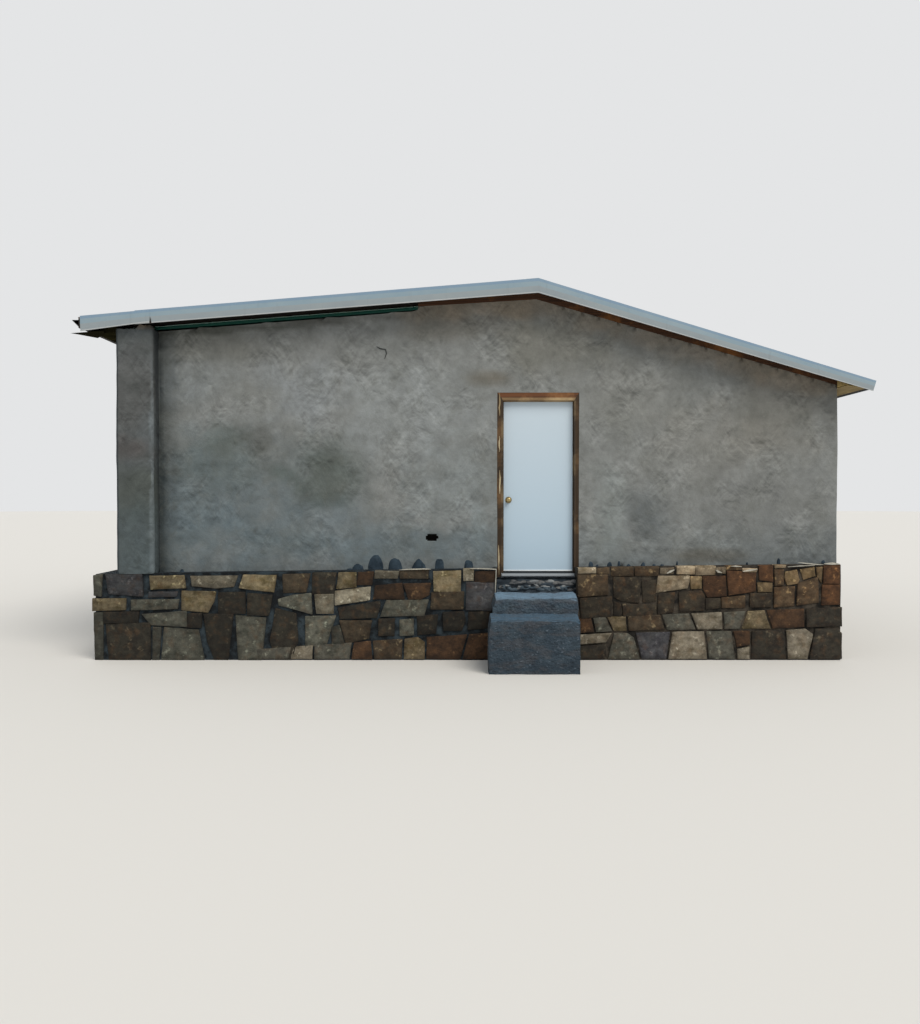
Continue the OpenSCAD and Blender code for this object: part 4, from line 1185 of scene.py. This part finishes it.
class ADOBE_OT_steps(bpy.types.Operator):
    """Casts the two worn steps and the rough course under the door"""

    bl_idname = "adobe.steps"
    bl_label = "Steps"

    def execute(self, context):
        wear = context.scene.adobe_steps.wear
        finishes = {
            "upper_step": ("site-mixed concrete", "#394550", "#475660", "#1e252b", "#6c869b"),
            # The lower step's darker colours are painted shade
            "lower_step": ("site-mixed concrete in painted shade", "#2d3943", "#394650", "#171d23",
                           "#465d6f"),
        }
        for node, finish in finishes.items():
            bm = merged_copy(node)
            low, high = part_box(node)
            worn = [e for e in bm.edges if e.calc_face_angle_signed(0) > 0.5
                    and max(v.co.z for v in e.verts) > 0.01]
            round_edges(bm, worn, 0.008)
            cut_grid(bm, 0.028)
            # Feet and rain have rounded the front left corner of each tread most
            for vert in bm.verts:
                from_corner = math.hypot(vert.co.x - low.x, vert.co.y - low.y)
                if from_corner < WORN_CORNER and vert.co.z > high.z - 0.12:
                    vert.co.z -= 0.02 * (1 - from_corner / WORN_CORNER) ** 2
            roughen(bm, ((wear, 0.30), (wear * 0.8, 0.11), (wear * 0.5, 0.045)))
            finish_piece(bm, node + "_concrete", [coarse_concrete(*finish)], [node])
        rubble = mortar("rubble and mortar", "#2d353c", "#48525a", "#14181d")
        bm = merged_copy("sill_course")
        cut_grid(bm, 0.024)
        low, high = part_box("sill_course")
        for vert in bm.verts:
            if vert.co.y < low.y + SAME_PLACE:
                # Flat stones lie in layers, so the face steps in and out more with height
                bed = Vector((vert.co.x / 0.16, 0, vert.co.z / 0.045))
                layered = 0.5 + 0.5 * noise.noise(bed)
                lumps = 0.5 + 0.5 * noise.noise(vert.co / 0.05 + UP)
                under_sill = (vert.co.z - (high.z - 0.020)) / 0.020
                vert.co.y += 0.055 * layered + 0.022 * lumps - 0.012
                vert.co.y += 0.05 * clamped(under_sill)
        finish_piece(bm, "sill_course_rubble", [rubble], ["sill_course"])
        self.bed_chips(low, high)
        return {"FINISHED"}

    @staticmethod
    def bed_chips(low, high):
        """Beds stone chips in the face of the rough course, flat and mostly in three layers."""
        rng = random.Random(23)
        chips = bmesh.new()
        tread_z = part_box("upper_step")[1].z
        # How far above the tread each layer lies, how far from the left it starts, and its
        # stones: how many, their tones, half the width and half the height
        layers = (
            (high.z - 0.050 - tread_z, 0.16, 17, (0, 0, 0, 2), (0.040, 0.085), (0.016, 0.026)),
            (high.z - 0.105 - tread_z, 0.0, 20, (1, 1, 1, 2), (0.020, 0.050), (0.008, 0.018)),
            (0.045, 0.0, 22, (0, 3, 3), (0.025, 0.060), (0.016, 0.030)),
        )
        for lift, bare, count, tones, wides, talls in layers:
            for i in range(count):
                x = low.x + 0.04 + (high.x - low.x - 0.08) * (i + rng.random()) / count
                if x < low.x + bare:
                    continue
                wide, tall = rng.uniform(*wides), rng.uniform(*talls)
                z = tread_z + lift + rng.gauss(0, 0.008)
                made = bmesh.ops.create_icosphere(chips, subdivisions=2, radius=1.0)["verts"]
                turn = Matrix.Rotation(rng.uniform(-0.2, 0.2), 3, "Y")
                for vert in made:
                    spot = vert.co * (1.0 + 0.4 * noise.noise(vert.co * 1.4 + UP * (i + lift * 90)))
                    spot = turn @ Vector((spot.x * wide, spot.y * 0.020, spot.z * tall))
                    vert.co = Vector((x, low.y + 0.026, z)) + spot
                tone = rng.choice(tones)
                for face in {f for vert in made for f in vert.link_faces}:
                    face.material_index = tone
        tones = (mortar("grey stone chips", "#56585a", "#7a7a78", "#33373a"),
                 mortar("dark stone chips", "#1a2026", "#2f363c", "#0f1317"),
                 mortar("pale stone chips", "#74787a", "#949899", "#4f5355"),
                 mortar("blue-grey stone chips", "#3f4a52", "#59666f", "#262e34"))
        finish_piece(chips, "sill_course_chips", tones)


class ADOBE_OT_walls(bpy.types.Operator):
    """Plasters the adobe walls and the corner pilaster"""

    bl_idname = "adobe.walls"
    bl_label = "Plastered Walls"

    def execute(self, context):
        settings = context.scene.adobe_plaster
        waves = ((settings.wave, 0.9), (settings.wave * 0.4, 0.3))
        plaster = mud_plaster("grey mud plaster", "#5a5c57")
        front_nodes = ("front_wall_left", "front_wall_over_door", "front_wall_right")
        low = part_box("front_wall_left")[0]
        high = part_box("front_wall_right")[1]
        hole = seen_at(HOLE[0], HOLE[1], low.y)
        hole_w, hole_h = HOLE[2] * PIXEL_AT_WALL, HOLE[3] * PIXEL_AT_WALL
        # Planes that the doorway, the hole and the pilaster's shadow need: an axis and a place
        cuts = [(0, corner.x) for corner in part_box("door_buck")]
        cuts += [(2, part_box("front_wall_over_door")[0].z)]
        cuts += [(0, hole.x + hole_w * i / 4) for i in range(-5, 6)]
        cuts += [(2, hole.z + hole_h * i / 3) for i in range(-4, 5)]
        cuts += [(0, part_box("corner_pilaster")[1].x + step) for step in (0.015, 0.05)]
        whole = bmesh.new()
        for node in front_nodes:
            bm = merged_copy(node)
            cut_grid(bm, 0.06, cuts)
            move_into(bm, whole)
        drop_inner_faces(whole)
        round_corners(whole, (low.x, high.x), low.y, settings.corner)
        roughen(whole, waves, level=True)
        # Under the eave: brown stain, and painted light that lifts the eave's shade
        eave = tuple((x_px, y_px, 0.60, 0.14, "#80776a", 0.62) for x_px, y_px in UNDER_EAVE_STAIN_AND_LIGHT)
        weathered(whole, "#7b7e7d", "#5f6a6f", FRONT_STAINS_AND_SHADOWS + eave, low.y)
        # The plaster stops a little under the green plate, which leaves a dark gap
        plates_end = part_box("gable_plates")[1].x
        for vert in whole.verts:
            if vert.is_boundary or vert.normal.z > 0.3:
                if vert.co.x < plates_end - 0.05 and vert.co.z > high.z - 0.75:
                    vert.co.z -= PLATE_GAP
        self.break_hole(whole, hole, hole_w, hole_h)
        # The hollow's inside takes a near-black finish: painted shade.
        hollow = mortar("painted shade in the adobe hollow", "#120f0c", "#1d1813", "#080706")
        finish_piece(whole, "front_wall_plaster", [plaster, hollow], front_nodes)
        self.add_marks(low.y)
        for node in ("left_wall", "right_wall", "rear_wall"):
            bm = merged_copy(node)
            cut_grid(bm, 0.11)
            if node == "rear_wall":
                round_corners(bm, (low.x, high.x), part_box(node)[1].y, settings.corner)
            roughen(bm, waves, level=True)
            weathered(bm, "#777a79", "#5f6a6f")
            finish_piece(bm, node + "_plaster", [plaster], [node])
        darker = mud_plaster("pilaster mud plaster", "#3f4442")
        bm = merged_copy("corner_pilaster")
        low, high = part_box("corner_pilaster")
        round_corners(bm, (low.x, high.x), low.y, settings.corner)
        cut_grid(bm, 0.045)
        roughen(bm, ((settings.wave * 0.8, 0.8), (settings.wave * 0.4, 0.2)), level=True)
        weathered(bm, "#54595b", "#4b5659", PILASTER_STAINS, low.y)
        self.shade_and_light_pilaster(bm, low, high)
        self.heap_plaster(bm, low, high)
        finish_piece(bm, "corner_pilaster_plaster", [darker], ["corner_pilaster"])
        return {"FINISHED"}

    @staticmethod
    def break_hole(bm, middle, wide, high):
        """Breaks a ragged hollow into the plaster of the front wall."""
        faces = []
        for face in bm.faces:
            spot = face.calc_center_median()
            away = math.hypot((spot.x - middle.x) / wide, (spot.z - middle.z) / high)
            if away < 1.0 + 0.25 * noise.noise(spot / 0.03) and abs(face.normal.y) > 0.7:
                if abs(spot.y - middle.y) < 0.05:
                    faces.append(face)
        extrude(bm, faces, REAR * 0.08)
        bmesh.ops.delete(bm, geom=faces, context="FACES_ONLY")
        # The hollow's sides take the second material, the painted shade
        for face in bm.faces:
            spot = face.calc_center_median()
            if abs(spot.x - middle.x) < wide * 1.3 and abs(spot.z - middle.z) < high * 1.4:
                if middle.y + 0.03 < spot.y < middle.y + 0.11:
                    face.material_index = 1

    @staticmethod
    def add_marks(wall_y):
        """Adds the crack, and the pats of mortar that the masons left along the foot."""
        pats = bmesh.new()
        for x_px, y_px, half_px in PATS:
            top = seen_at(x_px, y_px, wall_y)
            foot = seen_at(x_px, y_px + 2 * half_px + 2, wall_y)
            wide = half_px * PIXEL_AT_WALL
            made = bmesh.ops.create_icosphere(pats, subdivisions=3, radius=1.0)["verts"]
            for vert in made:
                spot = vert.co.copy()
                ragged = 1.0 + 0.16 * noise.noise(spot * 1.7 + Vector((x_px, 0, 0)))
                vert.co.x = foot.x + spot.x * wide * ragged * (1.0 + 0.35 * spot.z * spot.z)
                vert.co.z = foot.z + spot.z * (top.z - foot.z) * ragged
                vert.co.y = wall_y + 0.001 + spot.y * 0.018
        blue = mortar("blue-grey cement mortar", "#25313b", "#35434e", "#161e26")
        finish_piece(pats, "mortar_pats", [blue])
        crack = bmesh.new()
        ribbon(crack, [seen_at(x_px, y_px, wall_y - 0.006) for x_px, y_px in CRACK], 0.006, 0.012)
        shadow = mortar("shadow in a crack", "#3a3d3c", "#4a4d4c", "#2a2c2b")
        finish_piece(crack, "plaster_crack", [shadow])

    @staticmethod
    def shade_and_light_pilaster(bm, low, high):
        """Paints a highlight on the pilaster's right arris, painted shade on its right side towards
        the wall, and painted shade along its left front edge.
        """
        layer = bm.verts.layers.float_color["weather"]
        for vert in bm.verts:
            back = (vert.co.y - low.y) / (high.y - low.y)
            up = (vert.co.z - low.z) / (high.z - low.z)
            colour = Vector(vert[layer])
            if vert.co.x > high.x - 0.012 and back > 0.1:
                dark = clamped((back - 0.6 * (1 - up)) / 0.4)
                colour = colour.lerp(Vector(linear("#23282b")), 0.75 * dark)
            elif vert.co.x > high.x - 0.035 and up < 0.9:
                patchy = 0.26 + 0.22 * noise.noise(vert.co / 0.3)
                colour = colour.lerp(Vector(linear("#7d878d")), max(patchy, 0.0))
            elif vert.co.x < low.x + 0.02 and back < 0.1:
                colour = colour.lerp(Vector(linear("#202b33")), 0.7)
            vert[layer] = colour

    @staticmethod
    def heap_plaster(bm, low, high):
        """Heaps the lumps of brown plaster that were left on the pilaster's top, at its right."""
        layer = bm.verts.layers.float_color["weather"]
        for vert in bm.verts:
            if vert.co.z > high.z - 0.002 and vert.co.y < low.y + 0.12:
                share = (vert.co.x - low.x) / (high.x - low.x)
                heap = max(0.0, 1 - abs(share - 0.79) / 0.21)
                vert.co.z += 0.052 * min(1.0, 5 * heap) * (0.9 + 0.5 * noise.noise(vert.co / 0.05))
                vert.co.z += 0.008 * noise.noise(vert.co / 0.03)
                brown = 0.8 * min(1.0, 4 * heap)
                vert[layer] = Vector(vert[layer]).lerp(Vector(linear("#6b5d4c")), brown)


class ADOBE_OT_doorway(bpy.types.Operator):
    """Finishes the rough frame, the jamb and the threshold"""

    bl_idname = "adobe.doorway"
    bl_label = "Door Frame"

    def execute(self, context):
        legs = sawn_timber("weathered pine, oiled dark", "Z", "#33230f", "#181007", "#5c4429")
        head = sawn_timber("weathered pine lintel", "X", "#603a1e", "#3b2210", "#7f5733")
        head_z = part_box("door_jamb")[1].z
        paint_node("door_buck", legs, head, lambda middle: middle.z > head_z - 0.03)
        leg = sawn_timber("planed pine gone grey", "Z", "#3a2c1d", "#20180f", "#6b5a41")
        lintel = sawn_timber("planed pine", "X", "#7d6544", "#5a4630", "#a18a66", 0.65)
        paint_node("door_jamb", leg, lintel, lambda middle: middle.z > head_z - 0.06)
        worn = gloss_paint("worn threshold paint", "#9ba3aa", "#98a0a6", "#5a5f63", 0.6)
        # The threshold's top is painted near black, the painted shadow under the door
        tread = painted_metal("threshold top with painted shadow", "#131a21", "#1f262b", "#0b0e11", 0.7)
        sill_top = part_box("threshold")[1].z
        paint_node("threshold", worn, tread, lambda middle: middle.z > sill_top - 0.008)
        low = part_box("door_buck")[0]
        splits = bmesh.new()
        rng = random.Random(5)
        for top_px, foot_px in SPLITS:
            top, foot = (seen_at(SPLITS_X_PX, y_px, low.y).z for y_px in (top_px, foot_px))
            split_sliver(splits, low.x + rng.uniform(0.022, 0.034), low.y, foot, top, rng)
        pale = sawn_timber("split pale pine", "Z", "#a89878", "#7a6747", "#c2b698")
        finish_piece(splits, "door_buck_splits", [pale])
        return {"FINISHED"}


class ADOBE_OT_door(bpy.types.Operator):
    """Paints the door and finishes its hinges and knob"""

    bl_idname = "adobe.door"
    bl_label = "Door"

    def execute(self, context):
        # The door's paint turns bluer lower down: a painted reflection
        paint_node("door_leaf", gloss_paint("white door paint", "#bac9d4", "#a8bece",
                                            "#8fa2b0", 0.45))
        steel = bare_metal("zinc-plated steel", "#9a9c9e", "#6c6e70", 0.42)
        paint_node("frame_hinges", steel)
        paint_node("leaf_hinges", steel)
        paint_node("knob_roses", bare_metal("tarnished brass", "#8a7a52", "#5c5038", 0.5))
        paint_node("door_knob", bare_metal("worn brass", "#b3a070", "#7d6c44", 0.36))
        # The rubber lip of the door's sweep shows as a pale line along its foot
        low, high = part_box("door_leaf")
        size = (high.x - low.x - 0.012, 0.006, 0.016)
        middle = Vector(((low.x + high.x) / 2, low.y - size[1] / 2, low.z + 0.010))
        sweep = bmesh.new()
        bmesh.ops.create_cube(sweep, size=1.0,
                              matrix=Matrix.Translation(middle) @ Matrix.Diagonal((*size, 1)))
        round_edges(sweep, sweep.edges[:], 0.002)
        rubber = painted_metal("white door sweep", "#dfe6ea", "#d3dbe0", "#a9b0b4", 0.5)
        finish_piece(sweep, "door_sweep", [rubber], body="door")
        return {"FINISHED"}


class ADOBE_OT_roof(bpy.types.Operator):
    """Finishes the timbers, boards, sheets and trims of the roof"""

    bl_idname = "adobe.roof"
    bl_label = "Roof"

    def execute(self, context):
        rafter = sawn_timber("sawn pine rafters", "X", "#4c2e18", "#24140a", "#74491f")
        # The dark timber is dark weathered wood with painted shade: it stands for the deep shade on
        # the barge boards, the fascias, the gable rafters over the plates and the lap of the trim.
        dark = sawn_timber("dark weathered timber with painted shade", "X", "#1b1510", "#0e0b08", "#2a2119")
        plywood = sawn_timber("bare plywood", "Y", "#917c4c", "#6f5f3b", "#ad9560", 0.8)
        sheet = painted_metal("weathered roof sheet", "#a0a8ab", "#8f9799", "#74777a", 0.42, 0.3)
        trim = painted_metal("white painted trim", "#7d929e", "#8698a1", "#6c7880", 0.42)
        finishes = (
            (rafter, ("rafters_left", "rafters_right")),
            (dark, ("barge_board_front", "barge_board_rear", "eave_fascias")),
            (sawn_timber("sawn pine beam", "Y", "#66472b", "#45301d", "#84633f"),
             ("ridge_beam",)),
            (sawn_timber("sawn roof boards", "Y", "#5f4c33", "#433320", "#7d6a4b"),
             ("roof_deck_left", "roof_deck_right")),
            (dulled(sawn_timber("dark weathered boards", "Y", "#222014", "#16150c", "#35321f")),
             ("soffit_left",)),
            (plywood, ("soffit_right",)),
            (sheet, ("roof_sheet_left", "roof_sheet_right")),
            (trim, ("ridge_cap", "rake_trim_rear_left", "rake_trim_rear_right",
                    "eave_trim_right")),
            # The left eave's drip edge is near black: painted shade on its underside
            (dulled(painted_metal("drip edge in painted shade", "#14130f", "#201d17", "#0b0a08", 0.6)),
             ("eave_trim_left",)),
        )
        for finish, nodes in finishes:
            for node in nodes:
                paint_node(node, finish)
        plates_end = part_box("gable_plates")[1].x
        # Over the plates the gable rafters take the dark timber: painted shade
        paint_node("gable_rafters", rafter, dark, lambda middle: middle.x < plates_end)
        board_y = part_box("barge_board_front")[1].y + 0.002
        flat_sheet("soffit_return_right", [seen_at(x_px, y_px, board_y)
                                           for x_px, y_px in EAVE_RETURN],
                   0.012, plywood)
        self.screw_sheet("roof_sheet_left")
        self.screw_sheet("roof_sheet_right")
        self.bend_front_trims(trim, dark)
        self.set_plates()
        # The loose flashing is near black, a dark olive
        bronze = dulled(painted_metal("loose dark flashing", "#1d1b13", "#242217", "#0e0e0b",
                                      0.6))
        flat_sheet("loose_flashing", [WALL_FRAME + Vector(spot) for spot in LOOSE_FLAP],
                   0.002, bronze)
        return {"FINISHED"}

    @staticmethod
    def set_plates():
        """Sets the painted boards on the left halves of the gable walls, over a dark gap."""
        paint = gloss_paint("dark green plate paint", "#0c453b", "#0c453b", "#072520", 0.5)
        # The top arris takes a painted highlight
        edge = gloss_paint("green edge with painted highlight", "#9cc0b8", "#9cc0b8", "#5c8880", 0.7)
        low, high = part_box("gable_plates")
        fall = rake_slope("rake_trim_front_left") * (high.x - low.x)
        # The boards stand a little proud of the plates, and each has sprung up at its left end
        proud = 0.004
        sprung = 0.010
        bm = bmesh.new()
        for face_y, inward in ((low.y - proud, 1), (high.y + proud, -1)):
            rows = [[bm.verts.new((x, face_y + inward * back, top - down))
                     for back, down in PLATE_SECTION]
                    for x, top in ((low.x, high.z - fall + sprung), (high.x, high.z))]
            for row in rows:
                bm.faces.new(row)
            for i in range(len(PLATE_SECTION)):
                k = (i + 1) % len(PLATE_SECTION)
                face = bm.faces.new((rows[0][i], rows[0][k], rows[1][k], rows[1][i]))
                face.material_index = int(i in PLATE_HIGHLIGHTED)
        bmesh.ops.recalc_face_normals(bm, faces=bm.faces)
        finish_piece(bm, "gable_plate_boards", [paint, edge], ["gable_plates"])

    @staticmethod
    def bend_front_trims(trim, dark):
        """Bends the front's rake trims: a face creased along its middle and hemmed at its foot."""
        # The bright coat is the white paint with a painted reflection of the sky
        bright = painted_metal("white painted trim, painted sky reflection", "#718aa0", "#7990a2", "#657683", 0.4)
        chalk = painted_metal("white painted trim, chalked", "#8b9599", "#858f95", "#747b7f", 0.5)
        hem = painted_metal("white painted hem", "#a9adaf", "#a0a6a8", "#80878a", 0.4)
        coats = (bright, trim, chalk, hem)
        low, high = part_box("rake_trim_front_left")
        cap_low, cap_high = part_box("ridge_cap")
        ridge_x = (cap_low.x + cap_high.x) / 2
        face_y = low.y - 0.0015
        slope = rake_slope("rake_trim_front_left")
        eave, before, after, at_ridge = LEFT_TRIM_DEPTHS

        def left_end(x, top_drop, foot_drop, flare=0.0):
            top = high.z - slope * (high.x - x)
            return (x, top - top_drop, x + flare, top - foot_drop)

        lap, overlap = (seen_at(x_px, HORIZON_PX, face_y).x for x_px in LAP_PX)
        ridge = left_end(ridge_x, 0.0, at_ridge)
        bent_trim("rake_trim_front_left_sheet", (left_end(lap, 0.0, after), ridge), face_y,
                  coats, ["rake_trim_front_left"])
        # The outer length laps over the main one, and has sagged a little at the eave
        bent_trim("rake_trim_front_left_end",
                  (left_end(low.x + 0.016, 0.012, eave + 0.008, 0.006),
                   left_end(overlap, 0.005, before)), face_y - 0.003, coats)
        # A dark sheet at the lap's foot: painted shadow
        flat_sheet("rake_trim_lap_shadow", [seen_at(x_px, y_px, face_y - 0.0065)
                                           for x_px, y_px in LAP_SHADOW], 0.001, dark)
        points = front_corners("rake_trim_front_right")
        top, foot = points["top_right"], points["foot_right"]
        share = (top.x - ridge_x) / (top.x - points["top_left"].x)
        start_z = between(top, points["top_left"], share).z
        bent_trim("rake_trim_front_right_sheet",
                  ((ridge_x, start_z, ridge_x, ridge[3]), (top.x, top.z, foot.x, foot.z)),
                  face_y, coats, ["rake_trim_front_right"])

    @staticmethod
    def screw_sheet(node):
        """Drives a row of washered screws through every rib of a roof sheet."""
        bm = merged_copy(node)
        surface = BVHTree.FromBMesh(bm)
        bm.free()
        low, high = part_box(node)
        count = math.floor((high.y - low.y - 0.12) / RIB_PITCH)
        first = (low.y + high.y - count * RIB_PITCH) / 2
        rows = math.ceil((high.x - low.x - 2 * SCREW_MARGIN) / SCREW_PITCH)
        screws = bmesh.new()
        for i in range(count + 1):
            for k in range(rows + 1):
                x = low.x + SCREW_MARGIN + (high.x - low.x - 2 * SCREW_MARGIN) * k / rows
                above = Vector((x, first + i * RIB_PITCH, high.z + 1))
                spot, normal = surface.ray_cast(above, -UP)[:2]
                if spot:
                    screw_head(screws, spot, normal)
        steel = bare_metal("zinc-plated screws", "#8d9092", "#6a6c6e", 0.45)
        finish_piece(screws, node + "_screws", [steel])


class ADOBE_OT_floor(bpy.types.Operator):
    """Finishes the floor slab of the room"""

    bl_idname = "adobe.floor"
    bl_label = "Room Floor"

    def execute(self, context):
        paint_node("floor_slab", coarse_concrete("floated concrete floor", "#86847e",
                                                 "#98968f", "#6c6a65", "#8b8983"))
        return {"FINISHED"}


OPERATORS = (
    ADOBE_OT_stage,
    ADOBE_OT_plinth,
    ADOBE_OT_steps,
    ADOBE_OT_walls,
    ADOBE_OT_doorway,
    ADOBE_OT_door,
    ADOBE_OT_roof,
    ADOBE_OT_floor,
)

SETTINGS = (
    ("adobe_plinth", AdobePlinthSettings),
    ("adobe_plaster", AdobePlasterSettings),
    ("adobe_steps", AdobeStepSettings),
    ("adobe_stage", AdobeStageSettings),
)


class ADOBE_PT_panel(bpy.types.Panel):
    """Lists the pieces of the house and their sizes"""

    bl_idname = "ADOBE_PT_panel"
    bl_label = "Adobe House"
    bl_space_type = "VIEW_3D"
    bl_region_type = "UI"
    bl_category = "Adobe House"

    def draw(self, context):
        for name, kind in SETTINGS:
            column = self.layout.column(align=True)
            group = getattr(context.scene, name)
            for prop in kind.__annotations__:
                column.prop(group, prop)
        for operator in OPERATORS:
            self.layout.operator(operator.bl_idname)


def register():
    for name, kind in SETTINGS:
        bpy.utils.register_class(kind)
        setattr(bpy.types.Scene, name, PointerProperty(type=kind))
    for kind in (*OPERATORS, ADOBE_PT_panel):
        bpy.utils.register_class(kind)


def unregister():
    for kind in reversed((*OPERATORS, ADOBE_PT_panel)):
        bpy.utils.unregister_class(kind)
    for name, kind in reversed(SETTINGS):
        delattr(bpy.types.Scene, name)
        bpy.utils.unregister_class(kind)


def main():
    register()
    bpy.ops.adobe.stage()
    bpy.ops.adobe.plinth()
    bpy.ops.adobe.steps()
    bpy.ops.adobe.walls()
    bpy.ops.adobe.doorway()
    bpy.ops.adobe.door()
    bpy.ops.adobe.roof()
    bpy.ops.adobe.floor()


if __name__ == "__main__":
    main()
